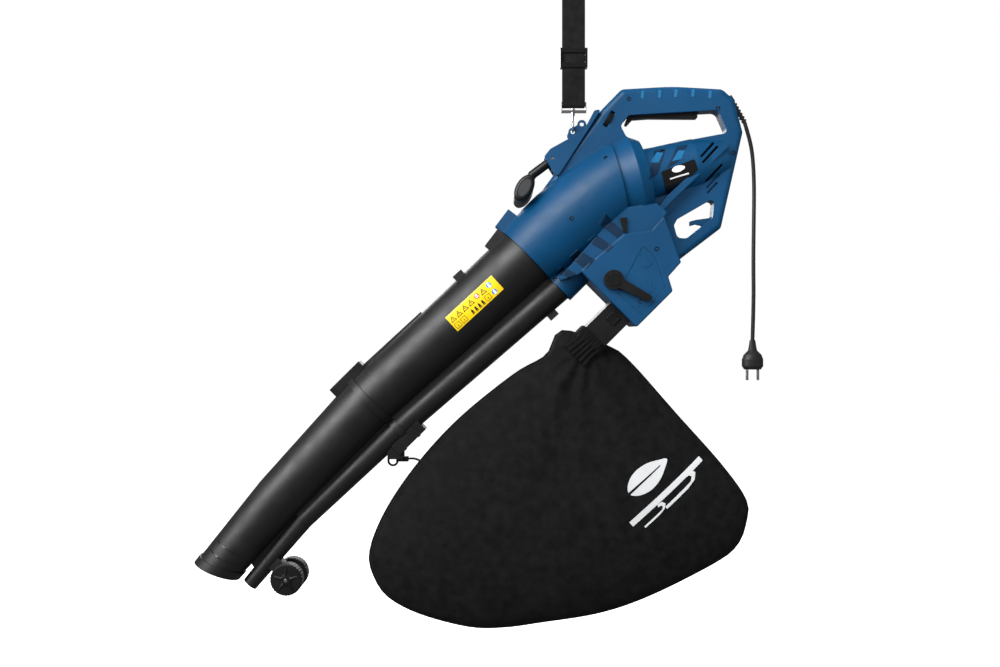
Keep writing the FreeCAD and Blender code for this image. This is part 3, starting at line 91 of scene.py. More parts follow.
class Graph:
    """A material's node graph, with short calls for the nodes that the finishes share."""

    def __init__(self, name: str, edge: float = 0.0) -> None:
        """Start a material with one Principled shader.

        Args:
            name: the material's name.
            edge: radius that sharp edges are softened by, in metres.
        """
        self.edge = edge
        self.material = bpy.data.materials.new(name)
        self.material.use_nodes = True
        self.nodes = self.material.node_tree.nodes
        self.links = self.material.node_tree.links
        self.shader = self.nodes["Principled BSDF"]
        self.coordinates = self.nodes.new("ShaderNodeTexCoord").outputs["Object"]

    def set(self, **values: object) -> None:
        """Set sockets of the shader by their names, with underscores for spaces."""
        for name, value in values.items():
            self.shader.inputs[name.replace("_", " ")].default_value = value

    def noise(self, scale: float, detail: float = 3.0, stretch: tuple = (1, 1, 1)) -> object:
        """A noise pattern on Object coordinates.

        Args:
            scale: features per metre.
            detail: octaves of finer noise.
            stretch: scale along X, Y and Z.

        Returns:
            The socket that holds the pattern, from 0 to 1.
        """
        mapping = self.nodes.new("ShaderNodeMapping")
        mapping.inputs["Scale"].default_value = stretch
        self.links.new(self.coordinates, mapping.inputs["Vector"])
        texture = self.nodes.new("ShaderNodeTexNoise")
        texture.inputs["Scale"].default_value = scale
        texture.inputs["Detail"].default_value = detail
        self.links.new(mapping.outputs["Vector"], texture.inputs["Vector"])
        return texture.outputs["Fac"]

    def ramp(self, source: object, low: object, high: object, start: float, end: float) -> object:
        """Turn a pattern into a range of values or colours.

        Args:
            source: the pattern's socket.
            low: the value or colour at and below start.
            high: the value or colour at and above end.
            start: where the range starts in the pattern.
            end: where the range ends in the pattern.

        Returns:
            The ramp's colour socket.
        """
        ramp = self.nodes.new("ShaderNodeValToRGB")
        first, last = ramp.color_ramp.elements
        first.position = start
        last.position = end
        first.color = self.rgba(low)
        last.color = self.rgba(high)
        self.links.new(source, ramp.inputs["Fac"])
        return ramp.outputs["Color"]

    @staticmethod
    def rgba(value: object) -> tuple:
        """A colour or a grey as four numbers."""
        if isinstance(value, (int, float)):
            return (value, value, value, 1.0)
        return (*value[:3], 1.0)

    def bump(self, height: object, strength: float, distance: float, below: object = None) -> object:
        """Raise the surface by a pattern.

        Args:
            height: the pattern's socket.
            strength: how much of it counts.
            distance: its full height in metres.
            below: another bump's normal socket that this one adds to.

        Returns:
            The normal socket, already joined to the shader.
        """
        bump = self.nodes.new("ShaderNodeBump")
        bump.inputs["Strength"].default_value = strength
        if below is None and self.edge:
            rounding = self.nodes.new("ShaderNodeBevel")
            rounding.samples = 4
            rounding.inputs["Radius"].default_value = self.edge
            below = rounding.outputs["Normal"]
        bump.inputs["Distance"].default_value = distance
        self.links.new(height, bump.inputs["Height"])
        if below is not None:
            self.links.new(below, bump.inputs["Normal"])
        self.links.new(bump.outputs["Normal"], self.shader.inputs["Normal"])
        return bump.outputs["Normal"]

    def join(self, source: object, socket: str) -> None:
        """Join a socket to one of the shader's."""
        self.links.new(source, self.shader.inputs[socket])


@dataclass(frozen=True)
class Moulding:
    """A moulded, cast or machined surface with a fine grain and faint wear.

    Attributes:
        name: the material's name.
        colour: its base colour.
        roughness: its middle roughness.
        grain: bumps per metre.
        depth: height of the grain in metres.
        metallic: 1 for metal.
        coat: weight of a clear coat.
        stretch: the grain's scale along X, Y and Z.
        edge: radius of the softened edges in metres.
        shine: strength of its mirror reflection.
    """

    name: str
    colour: tuple
    roughness: float
    grain: float = 900.0
    depth: float = 0.0001
    metallic: float = 0.0
    coat: float = 0.0
    stretch: tuple = (1, 1, 1)
    edge: float = 0.0009
    shine: float = 0.32

    def build(self) -> bpy.types.Material:
        """Make the material."""
        graph = Graph(self.name, self.edge)
        graph.set(Metallic=self.metallic, Coat_Weight=self.coat, Specular_IOR_Level=self.shine)
        cloudy = graph.noise(9.0, 4.0)
        dark = tuple(0.88 * part for part in self.colour)
        light = tuple(min(1.0, 1.12 * part + 0.0004) for part in self.colour)
        graph.join(graph.ramp(cloudy, dark, light, 0.3, 0.7), "Base Color")
        fine = graph.noise(self.grain, 2.0, self.stretch)
        smear = graph.noise(34.0, 5.0, self.stretch)
        graph.join(graph.ramp(smear, self.roughness * 0.86, self.roughness * 1.16, 0.3, 0.72), "Roughness")
        graph.bump(fine, 0.35, self.depth)
        return graph.material


@dataclass(frozen=True)
class Cloth:
    """Woven cloth or webbing.

    Attributes:
        name: the material's name.
        colour: its base colour.
        threads: threads per metre.
        depth: height of a thread in metres.
        weave: how the threads cross.
        sheen: weight of the soft edge light.
    """

    name: str
    colour: tuple
    threads: float
    depth: float
    weave: Weave = Weave.PLAIN
    sheen: float = 0.35

    def build(self) -> bpy.types.Material:
        """Make the material."""
        graph = Graph(self.name)
        graph.set(Sheen_Weight=self.sheen, Sheen_Roughness=0.45, Specular_IOR_Level=0.08)
        bands = []
        for axis in ("X", "DIAGONAL" if self.weave is Weave.TWILL else "Z"):
            wave = graph.nodes.new("ShaderNodeTexWave")
            wave.bands_direction = axis
            wave.inputs["Scale"].default_value = self.threads / 6.3
            wave.inputs["Distortion"].default_value = 0.6
            wave.inputs["Detail"].default_value = 1.0
            graph.links.new(graph.coordinates, wave.inputs["Vector"])
            bands.append(wave.outputs["Fac"])
        cross = graph.nodes.new("ShaderNodeMath")
        cross.operation = "MULTIPLY"
        graph.links.new(bands[0], cross.inputs[0])
        graph.links.new(bands[1], cross.inputs[1])
        fuzz = graph.noise(60.0, 6.0)
        dark = tuple(0.7 * part for part in self.colour)
        light = tuple(1.45 * part + 0.002 for part in self.colour)
        graph.join(graph.ramp(fuzz, dark, light, 0.28, 0.75), "Base Color")
        graph.join(graph.ramp(fuzz, 0.78, 0.93, 0.3, 0.7), "Roughness")
        below = graph.bump(cross.outputs["Value"], 0.5, self.depth)
        graph.bump(graph.noise(14.0, 5.0), 0.25, 0.004, below)
        return graph.material


BLUE = Moulding("blue_housing", (0.0004, 0.045, 0.12), 0.44, 1500.0, 0.00009, edge=0.0014, shine=0.3)
# Glossy blue: its low roughness and clear coat are real gloss, and its base colour, lighter than the
# housing's, is a painted highlight.
BLUE_GLOSS_AND_PAINTED_HIGHLIGHT = Moulding("blue_polished_painted_highlight", (0.012, 0.11, 0.25), 0.2, 300.0, 0.00001, coat=0.4)
# Dark blue for the shade in the housing's grooves, louvres and gaps: painted shade.
BLUE_PAINTED_SHADE = Moulding("blue_shadow_gap", (0.0004, 0.016, 0.045), 0.5, 900.0, 0.00006)
TUBE_BLACK = Moulding("tube_black", (0.0055, 0.0055, 0.0058), 0.47, 260.0, 0.000004, edge=0.0, shine=0.5)
BLACK = Moulding("black_moulding", (0.0045, 0.0045, 0.0048), 0.42, 1600.0, 0.00009, edge=0.0012)
GLOSS = Moulding("gloss_black", (0.006, 0.006, 0.0065), 0.13, 300.0, 0.00001, coat=0.4)
PAD = Moulding("grip_rubber", (0.03, 0.031, 0.033), 0.62, 1500.0, 0.00015)
# A black sheet inside the motor casing: painted shade for the hollow behind the vents.
VENT_PAINTED_SHADE = Moulding("vent_painted_shade", (0.004, 0.004, 0.004), 0.9, 700.0, 0.0004)
LEAD_RUBBER = Moulding("lead_rubber", (0.012, 0.012, 0.013), 0.45, 800.0, 0.00005)
CHROME = Moulding("chrome", (0.74, 0.75, 0.76), 0.14, 200.0, 0.000006, metallic=1.0)
STEEL = Moulding("turned_steel", (0.5, 0.5, 0.52), 0.28, 1200.0, 0.00004, metallic=1.0, stretch=(1, 1, 8))
LAMINATE = Moulding("motor_laminate", (0.2, 0.2, 0.21), 0.45, 1800.0, 0.0001, metallic=0.8, stretch=(9, 1, 1))
COPPER = Moulding("commutator_copper", (0.7, 0.33, 0.16), 0.3, 900.0, 0.00005, metallic=1.0)
CAST = Moulding("cast_alloy", (0.55, 0.56, 0.57), 0.42, 1100.0, 0.00015, metallic=1.0)
FAN = Moulding("fan_nylon", (0.05, 0.05, 0.055), 0.5, 900.0, 0.0001)
CARBON = Moulding("brush_carbon", (0.03, 0.03, 0.03), 0.62, 2000.0, 0.0001)
BOARD = Moulding("board_green", (0.02, 0.13, 0.05), 0.35, 800.0, 0.00006)
YELLOW = Moulding("label_yellow", (0.78, 0.53, 0.006), 0.3, 400.0, 0.00001, coat=0.4, edge=0.0)
INK = Moulding("label_ink", (0.015, 0.015, 0.015), 0.4, 400.0, 0.00001, edge=0.0)
LABEL_BLUE = Moulding("label_blue", (0.01, 0.2, 0.55), 0.35, 400.0, 0.00001, edge=0.0)
LABEL_WHITE = Moulding("label_white", (0.8, 0.8, 0.79), 0.35, 400.0, 0.00001, edge=0.0)
LABEL_RED = Moulding("label_red", (0.65, 0.02, 0.02), 0.35, 400.0, 0.00001, edge=0.0)
PRINT = Moulding("bag_print_ink", (0.62, 0.63, 0.64), 0.55, 1500.0, 0.00012, edge=0.0)
BAG_CLOTH = Cloth("bag_cloth", (0.0055, 0.0055, 0.0058), 1500.0, 0.00016, sheen=0.015)
SEAM_CLOTH = Cloth("bag_binding", (0.0038, 0.0038, 0.004), 1100.0, 0.0003, Weave.TWILL, sheen=0.02)
WEBBING = Cloth("webbing", (0.0072, 0.0072, 0.0076), 620.0, 0.0006, Weave.TWILL, sheen=0.03)

NODE_FINISHES = {
    "blue_shell": BLUE, "black_shell": BLACK, "gloss_black": GLOSS, "grey_pad": PAD, "steel": STEEL,
    "chrome": CHROME, "laminate": LAMINATE, "copper": COPPER, "carbon": CARBON, "board_green": BOARD,
    "label_yellow": YELLOW, "rubber_black": LEAD_RUBBER, "bag_cloth": BAG_CLOTH, "webbing": WEBBING,
    "fan_plastic": FAN, "aluminium_cast": CAST,
}
TUBE_NODES = ("upper_tube", "lower_tube", "nozzle_rim")


class Paints:
    """Every finish, built once and handed out by its description."""

    def __init__(self) -> None:
        """Start with no material made."""
        self.made = {}

    def get(self, finish: object) -> bpy.types.Material:
        """The material of one finish."""
        if finish.name not in self.made:
            self.made[finish.name] = finish.build()
        return self.made[finish.name]

    def dress(self, piece: bpy.types.Object, finish: object) -> None:
        """Give a piece one finish all over."""
        piece.data.materials.clear()
        piece.data.materials.append(self.get(finish))


PAINTS = Paints()


# --- bench tools ---------------------------------------------------------------------------------


def deselect() -> None:
    """Leave edit mode and deselect everything."""
    if bpy.context.object and bpy.context.object.mode != "OBJECT":
        bpy.ops.object.mode_set(mode="OBJECT")
    bpy.ops.object.select_all(action="DESELECT")


def take(piece: bpy.types.Object) -> None:
    """Select one object alone and make it active."""
    deselect()
    piece.select_set(True)
    bpy.context.view_layer.objects.active = piece


def settle(piece: bpy.types.Object) -> bpy.types.Object:
    """Move a piece's place into its mesh."""
    take(piece)
    bpy.ops.object.transform_apply(location=True, rotation=True, scale=True)
    return piece


def keep_modifier(piece: bpy.types.Object, kind: str, **values: object) -> None:
    """Add a modifier and apply it.

    Args:
        piece: the object.
        kind: the modifier's type.
        values: its settings.
    """
    modifier = piece.modifiers.new(kind.lower(), kind)
    for name, value in values.items():
        setattr(modifier, name, value)
    take(piece)
    bpy.ops.object.modifier_apply(modifier=modifier.name)


def smooth(piece: bpy.types.Object, degrees: float = 35.0) -> None:
    """Shade a piece smooth, with creases where it turns sharply."""
    take(piece)
    bpy.ops.object.shade_smooth_by_angle(angle=math.radians(degrees))


def face_outwards(piece: bpy.types.Object) -> None:
    """Turn every face of a mesh to the same side, outwards on a closed one."""
    take(piece)
    bpy.ops.object.mode_set(mode="EDIT")
    bpy.ops.mesh.select_all(action="SELECT")
    bpy.ops.mesh.normals_make_consistent(inside=False)
    bpy.ops.object.mode_set(mode="OBJECT")


def from_mesh(name: str, verts: list, faces: list) -> bpy.types.Object:
    """An object from points and faces.

    Args:
        name: the object's name.
        verts: points in metres.
        faces: tuples of point numbers.

    Returns:
        The new object, in the scene.
    """
    mesh = bpy.data.meshes.new(name)
    mesh.from_pydata([tuple(point) for point in verts], [], faces)
    mesh.update()
    piece = bpy.data.objects.new(name, mesh)
    bpy.context.scene.collection.objects.link(piece)
    return piece


MM = 0.001
FRONT = -0.2


def flat_outline(name: str, points: list, curved: bool = False) -> bpy.types.Object:
    """A flat shape in the side view, in front of the machine.

    Args:
        name: the object's name.
        points: (x, z) corners in millimetres.
        curved: True to run a smooth line through them.

    Returns:
        A flat mesh in the plane y = FRONT.
    """
    curve = bpy.data.curves.new(name, "CURVE")
    curve.dimensions = "2D"
    curve.fill_mode = "BOTH"
    spline = curve.splines.new("NURBS" if curved else "POLY")
    spline.points.add(len(points) - 1)
    for point, (x, z) in zip(spline.points, points):
        point.co = (x * MM, z * MM, 0.0, 1.0)
    spline.use_cyclic_u = True
    if curved:
        spline.order_u = 3
        spline.resolution_u = 8
    piece = bpy.data.objects.new(name, curve)
    bpy.context.scene.collection.objects.link(piece)
    take(piece)
    bpy.ops.object.convert(target="MESH")
    piece.rotation_euler = (math.radians(90), 0, 0)
    piece.location = (0, FRONT, 0)
    return settle(piece)


def join(name: str, pieces: list) -> bpy.types.Object:
    """Several meshes as one object.

    Args:
        name: the name of the joined object.
        pieces: the meshes, which are used up.

    Returns:
        The joined object.
    """
    deselect()
    for piece in pieces:
        piece.select_set(True)
    bpy.context.view_layer.objects.active = pieces[0]
    bpy.ops.object.join()
    pieces[0].name = name
    return pieces[0]


def laid_on(piece: bpy.types.Object, target: bpy.types.Object, rise: float, thick: float,
            fineness: int = 3) -> bpy.types.Object:
    """Press a flat shape onto a surface behind it, drop what misses it and give it a thickness.

    Args:
        piece: a flat mesh in front of the surface.
        target: the surface.
        rise: how far its outer face stands proud, in metres.
        thick: its thickness in metres.
        fineness: levels of simple subdivision.

    Returns:
        The same piece.
    """
    keep_modifier(piece, "TRIANGULATE")
    keep_modifier(piece, "SUBSURF", subdivision_type="SIMPLE", levels=fineness, render_levels=fineness)
    keep_modifier(piece, "SHRINKWRAP", wrap_method="PROJECT", target=target, use_project_y=True,
                  use_negative_direction=False, use_positive_direction=True, offset=rise)
    face_outwards(piece)
    if sum(polygon.normal.y * polygon.area for polygon in piece.data.polygons) > 0:
        piece.data.flip_normals()
    take(piece)
    bpy.ops.object.mode_set(mode="EDIT")
    shape = bmesh.from_edit_mesh(piece.data)
    # Points with no surface behind them stay where they were.
    missed = [vertex for vertex in shape.verts if vertex.co.y < FRONT + MM]
    bmesh.ops.delete(shape, geom=missed, context="VERTS")
    bmesh.update_edit_mesh(piece.data)
    bpy.ops.object.mode_set(mode="OBJECT")
    keep_modifier(piece, "SOLIDIFY", thickness=thick, offset=-1.0)
    smooth(piece, 40)
    return piece


def turned_round(points: list, centre: tuple, degrees: float, scale: float = 1.0) -> list:
    """Turn and scale points about the origin and move them to a centre.

    Args:
        points: (x, z) in millimetres.
        centre: where the origin goes.
        degrees: the turn.
        scale: the enlargement.

    Returns:
        The moved points.
    """
    turn = math.radians(degrees)
    moved = []
    for x, z in points:
        moved.append((
            centre[0] + scale * (x * math.cos(turn) - z * math.sin(turn)),
            centre[1] + scale * (x * math.sin(turn) + z * math.cos(turn)),
        ))
    return moved


def finished(piece: bpy.types.Object, body: Body, finish: object) -> bpy.types.Object:
    """Dress a piece, let it ride and report it.

    Args:
        piece: the object, with its place in its mesh.
        body: the body it rides on.
        finish: its finish.

    Returns:
        The same object.
    """
    PAINTS.dress(piece, finish)
    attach(piece, body.value)
    LOG.info("made %s", piece.name)
    return piece


# --- studio --------------------------------------------------------------------------------------


@dataclass
class Studio:
    """Camera, floor and lights.

    Attributes:
        floor_height: where the pale floor lies.
        lamps: name, place, aim, size along and across, turn about the aim and power of each softbox;
            the key and rear lamps show in reflections.
    """

    floor_height: float = -1.36
    lamps: tuple = (
        ("key", (-1.45, -1.35, 0.45), (-0.25, 0.0, -0.72), (2.8, 1.3), 45.0, 104.0),
        ("front", (0.3, -2.7, -0.1), (0.0, 0.0, -0.6), (2.0, 1.2), 0.0, 26.0),
        ("right", (1.7, -1.2, -0.3), (0.1, 0.0, -0.5), (0.5, 1.8), 0.0, 14.0),
        ("top", (0.2, 0.3, 1.3), (0.0, 0.0, -0.5), (1.6, 0.8), 0.0, 24.0),
        ("rear", (-0.3, 2.4, 0.3), (-0.1, 0.0, -0.6), (2.2, 1.0), 0.0, 36.0),
    )

    def place_camera(self) -> None:
        """Set the camera square to the machine's side."""
        data = bpy.data.cameras.new("camera")
        data.sensor_width = SENSOR_WIDTH
        data.lens = SENSOR_WIDTH * CAMERA_DISTANCE / VIEW_WIDTH
        data.clip_end = 60.0
        camera = bpy.data.objects.new("camera", data)
        camera.location = CAMERA_SPOT - Vector((0, CAMERA_DISTANCE, 0))
        camera.rotation_euler = (math.radians(90), 0, 0)
        bpy.context.scene.collection.objects.link(camera)
        bpy.context.scene.camera = camera

    def build_floor(self) -> None:
        """Lay the pale floor."""
        deselect()
        bpy.ops.mesh.primitive_circle_add(
            vertices=96, radius=14.0, fill_type="NGON", location=(0, 0, self.floor_height)
        )
        floor = settle(bpy.context.object)
        floor.name = "studio_floor"
        graph = Graph("studio_white")
        graph.set(Roughness=0.95, Specular_IOR_Level=0.0, Emission_Strength=1.0)
        graph.set(Emission_Color=(1.0, 1.0, 1.0, 1.0))
        graph.join(graph.ramp(graph.noise(0.7), 0.86, 0.9, 0.2, 0.8), "Base Color")
        floor.data.materials.append(graph.material)
        floor.visible_glossy = False
        floor.visible_diffuse = False

    def light(self) -> None:
        """Hang the softboxes and set the white surround."""
        for name, place, aim, extent, roll, power in self.lamps:
            data = bpy.data.lights.new(name, "AREA")
            data.shape = "RECTANGLE"
            data.size, data.size_y = extent
            data.energy = power
            lamp = bpy.data.objects.new(name, data)
            lamp.location = place
            lamp.visible_glossy = name in ("key", "rear")
            facing = (Vector(aim) - Vector(place)).to_track_quat("-Z", "Y").to_matrix()
            turn = Matrix.Rotation(math.radians(roll), 3, "Z")
            lamp.rotation_euler = (facing @ turn).to_euler()
            bpy.context.scene.collection.objects.link(lamp)
        world = bpy.data.worlds.new("room_light")
        world.use_nodes = True
        nodes = world.node_tree.nodes
        links = world.node_tree.links
        seen = nodes["Background"]
        seen.inputs["Color"].default_value = (1.0, 1.0, 1.0, 1.0)
        seen.inputs["Strength"].default_value = 1.0
        dim = nodes.new("ShaderNodeBackground")
        dim.inputs["Color"].default_value = (0.95, 0.97, 1.0, 1.0)
        dim.inputs["Strength"].default_value = 0.16
        path = nodes.new("ShaderNodeLightPath")
        mix = nodes.new("ShaderNodeMixShader")
        links.new(path.outputs["Is Camera Ray"], mix.inputs[0])
        links.new(dim.outputs[0], mix.inputs[1])
        links.new(seen.outputs[0], mix.inputs[2])
        links.new(mix.outputs[0], nodes["World Output"].inputs["Surface"])
        bpy.context.scene.world = world
        bpy.context.scene.view_settings.view_transform = "Standard"

    def build(self) -> None:
        """Make the whole studio."""
        self.place_camera()
        self.build_floor()
        self.light()


# --- mains lead ----------------------------------------------------------------------------------


@dataclass
class Lead:
    """The mains lead, from its strain relief down to its plug.

    Attributes:
        diameter: across the round lead.
        length: its real length; not used.
        route: the points of its line, as the design has them.
    """

    diameter: float = 0.007
    length: float = 0.388
    route: tuple = (
        (0.30236, 0.0, -0.24233), (0.3115, -0.001, -0.272), (0.3175, 0.001, -0.303),
        (0.3205, 0.003, -0.352), (0.3195, 0.002, -0.420), (0.3178, -0.002, -0.490),
        (0.3186, -0.002, -0.560), (0.3168, 0.0, -0.6284),
    )

    def build(self) -> bpy.types.Object:
        """Make the lead as one smooth line with a round section."""
        curve = bpy.data.curves.new("lead_flex", "CURVE")
        curve.dimensions = "3D"
        curve.bevel_depth = self.diameter / 2
        curve.bevel_resolution = 6
        curve.resolution_u = 24
        spline = curve.splines.new("NURBS")
        spline.points.add(len(self.route) - 1)
        for point, place in zip(spline.points, self.route):
            point.co = (*place, 1.0)
        spline.order_u = 3
        spline.use_endpoint_u = True
        lead = bpy.data.objects.new("lead_flex", curve)
        bpy.context.scene.collection.objects.link(lead)
        finished(lead, Body.MACHINE, LEAD_RUBBER)
        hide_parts("mains_lead")
        return lead


# --- bag -----------------------------------------------------------------------------------------


CURVE_STEPS = 24
HEM_INSET = 0.0072
HEM_WIDTH = 0.001


@dataclass
class Bag:
    """The debris bag, its print and its trimmings.

    Attributes:
        outline: the bag's side view, from the neck round by the left, in metres.
        middle: the point that the panels narrow to, along and up.
        neck: where the gathered neck leaves the cuff, along and up.
        swell: half its thickness at the middle.
        rings: rows of points from its seam to its middle.
        around: points round its outline.
    """

    outline: tuple = (
        (-0.020, -0.612), (-0.048, -0.655), (-0.102, -0.687), (-0.187, -0.754), (-0.250, -0.817),
        (-0.305, -0.887), (-0.343, -0.952), (-0.361, -1.008), (-0.352, -1.048), (-0.327, -1.083),
        (-0.272, -1.112), (-0.187, -1.1345), (-0.125, -1.136), (-0.060, -1.1275), (0.047, -1.110),
        (0.139, -1.078), (0.254, -1.0195), (0.291, -0.988), (0.305, -0.950), (0.305, -0.912),
        (0.262, -0.850), (0.182, -0.760), (0.100, -0.668), (0.062, -0.640),
    )
    middle: tuple = (-0.04, -0.90)
    neck: tuple = (0.0206, -0.6374)
    swell: float = 0.043
    rings: int = 34
    around: int = 240

    def edge_points(self) -> list:
        """Points round the outline, evenly spaced on a smooth closed curve."""
        count = len(self.outline)
        dense = []
        for index in range(count):
            corners = [Vector(self.outline[(index + step) % count]) for step in (-1, 0, 1, 2)]
            before, start, end, after = corners
            for step in range(CURVE_STEPS):
                part = step / CURVE_STEPS
                first = 0.5 * (end - before)
                last = 0.5 * (after - start)
                dense.append(
                    start * (2 * part**3 - 3 * part**2 + 1) + first * (part**3 - 2 * part**2 + part)
                    + end * (3 * part**2 - 2 * part**3) + last * (part**3 - part**2)
                )
        lengths = [0.0]
        for index in range(len(dense)):
            lengths.append(lengths[-1] + (dense[(index + 1) % len(dense)] - dense[index]).length)
        points = []
        cursor = 0
        for index in range(self.around):
            wanted = lengths[-1] * index / self.around
            while lengths[cursor + 1] < wanted:
                cursor += 1
            share = (wanted - lengths[cursor]) / (lengths[cursor + 1] - lengths[cursor])
            points.append(dense[cursor].lerp(dense[(cursor + 1) % len(dense)], share))
        return points

    def fold(self, x: float, z: float, share: float, side: int) -> float:
        """How far the cloth stands out or in at a point, from its creases.

        Args:
            x: the point's place along the machine.
            z: its height.
            share: 0 at the middle of the panel and 1 at its seam.
            side: -1 for the near panel and 1 for the far one.

        Returns:
            The offset in metres, outwards.
        """
        away = Vector((x - self.neck[0], z - self.neck[1]))
        reach = away.length
        angle = math.atan2(away.y, away.x)
        pleats = math.sin(angle * 13 + 2.4 * side + 2 * noise.noise(Vector((x * 5, z * 5, side))))
        pleats *= 0.0065 * math.exp(-reach / 0.11)
        soft = noise.noise(Vector((x * 3.4, z * 2.4, side * 3.1))) * 0.006
        fall = math.sin(angle * 5 + 1.3 + 0.6 * side) * 0.0035 * math.exp(-((reach - 0.16) / 0.13) ** 2)
        pucker = math.sin((x * 0.7 + z) * 150 + 4 * noise.noise(Vector((x * 9, z * 9, 0))))
        pucker *= 0.0008 * max(0.0, share - 0.88) / 0.12
        return (pleats + soft + fall) * (1 - share**6) + pucker

    def build_shell(self) -> bpy.types.Object:
        """Make the two panels of the bag as one closed form."""
        edge = self.edge_points()
        middle = Vector(self.middle)
        verts = []
        faces = []
        for side in (-1, 1):
            for ring in range(self.rings):
                share = 1 - ring / self.rings
                for point in edge:
                    flat = middle + (point - middle) * share
                    near = math.exp(-((flat - Vector(self.neck)).length / 0.075) ** 2)
                    pillow = self.swell * (1 - share**2.6) ** 0.62
                    bulge = pillow + (0.044 * (1 - share**14) ** 0.5 - pillow) * near
                    lift = bulge + self.fold(flat.x, flat.y, share, side) * min(1.0, (1 - share) * 9)
                    verts.append((flat.x, side * max(lift, 0.0012), flat.y))
            verts.append((middle.x, side * (self.swell + self.fold(middle.x, middle.y, 0, side)), middle.y))
        per_side = self.rings * self.around + 1
        for side_index in (0, 1):
            base = side_index * per_side
            for ring in range(self.rings - 1):
                for step in range(self.around):
                    after = (step + 1) % self.around
                    quad = (
                        base + ring * self.around + step, base + ring * self.around + after,
                        base + (ring + 1) * self.around + after, base + (ring + 1) * self.around + step,
                    )
                    faces.append(quad if side_index else quad[::-1])
            last = base + (self.rings - 1) * self.around
            for step in range(self.around):
                tip = (last + step, last + (step + 1) % self.around, base + per_side - 1)
                faces.append(tip if side_index else tip[::-1])
        for step in range(self.around):
            after = (step + 1) % self.around
            faces.append((step, after, per_side + after, per_side + step))
        bag = from_mesh("bag_shell", verts, faces)
        face_outwards(bag)
        keep_modifier(bag, "SUBSURF", levels=1, render_levels=1)
        smooth(bag, 60)
        return bag

    def build_binding(self) -> bpy.types.Object:
        """Sew the bound edge round the seam."""
        curve = bpy.data.curves.new("bag_binding", "CURVE")
        curve.dimensions = "3D"
        curve.bevel_depth = 0.0016
        curve.bevel_resolution = 2
        points = self.edge_points()[::2]
        spline = curve.splines.new("POLY")
        spline.points.add(len(points) - 1)
        for knot, point in zip(spline.points, points):
            knot.co = (point.x, 0.0, point.y, 1.0)
        spline.use_cyclic_u = True
        binding = bpy.data.objects.new("bag_binding", curve)
        bpy.context.scene.collection.objects.link(binding)
        take(binding)
        bpy.ops.object.convert(target="MESH")
        smooth(binding, 60)
        return finished(binding, Body.BAG, SEAM_CLOTH)

    def build_hem(self, bag: bpy.types.Object) -> None:
        """Lay the seam line that runs beside the bound edge on the near panel.

        Args:
            bag: the shell that it lies on.
        """
        middle = Vector(self.middle)
        outer = []
        inner = []
        for point in self.edge_points()[::2]:
            away = (point - middle).normalized()
            for line, inset in ((outer, HEM_INSET), (inner, HEM_INSET + HEM_WIDTH)):
                place = (point - away * inset) / MM
                line.append((place.x, place.y))
        ring = outer + outer[:1] + inner[:1] + inner[::-1]
        hem = flat_outline("bag_hem", ring)
        laid_on(hem, bag, 0.0002, 0.0005, 1)
        finished(hem, Body.BAG, SEAM_CLOTH)

    def build_print(self, bag: bpy.types.Object) -> None:
        """Print the generic mark, a leaf over a bar with two strokes of wind.

        Args:
            bag: the shell that it lies on.
        """
        leaf = [
            (-46, 0), (-34, 15), (-12, 23), (14, 20), (36, 8), (50, 0), (36, -8), (14, -19), (-12, -22),
            (-34, -14),
        ]
        vein = [(-64, -2.4), (-46, -2.2), (30, -0.8), (30, 0.8), (-46, 2.2), (-64, 2.4)]
        bar = [(-84, -5), (84, -5), (84, 5), (-84, 5)]
        stroke = [
            (-30, 3), (10, 3.5), (26, 6), (34, 13), (30, 21), (20, 22), (17, 17), (24, 16), (26, 12), (20, 8),
            (8, 7.5), (-30, 7),
        ]
        centre = (160, -892)
        tilt = 42

        def at(right: float, up: float) -> tuple:
            """A place beside the mark's middle, along its tilt and square to it."""
            return turned_round([(right, up)], centre, tilt)[0]

        marks = [
            flat_outline("print_leaf", turned_round(leaf, at(-8, 42), tilt), True),
            flat_outline("print_bar", turned_round(bar, at(0, 0), tilt)),
            flat_outline("print_wind_long", turned_round(stroke, at(18, -26), tilt, 1.25)),
            flat_outline("print_wind_short", turned_round(stroke, at(-44, -24), tilt, 0.85)),
        ]
        shown = join("bag_print", marks)
        laid_on(shown, bag, 0.0006, 0.0006, 3)
        finished(shown, Body.BAG, PRINT)
        midrib = flat_outline("bag_print_vein", turned_round(vein, at(-8, 42), tilt))
        laid_on(midrib, bag, 0.001, 0.0006, 3)
        finished(midrib, Body.BAG, BAG_CLOTH)

    def build_cuff(self) -> None:
        """Make the gathered cuff that holds the bag to the chute."""
        along = Vector((-1, 0, -1)).normalized()
        up = Vector((-1, 0, 1)).normalized()
        foot = Vector((0.0648, 0, -0.5246)) - up * 0.0485
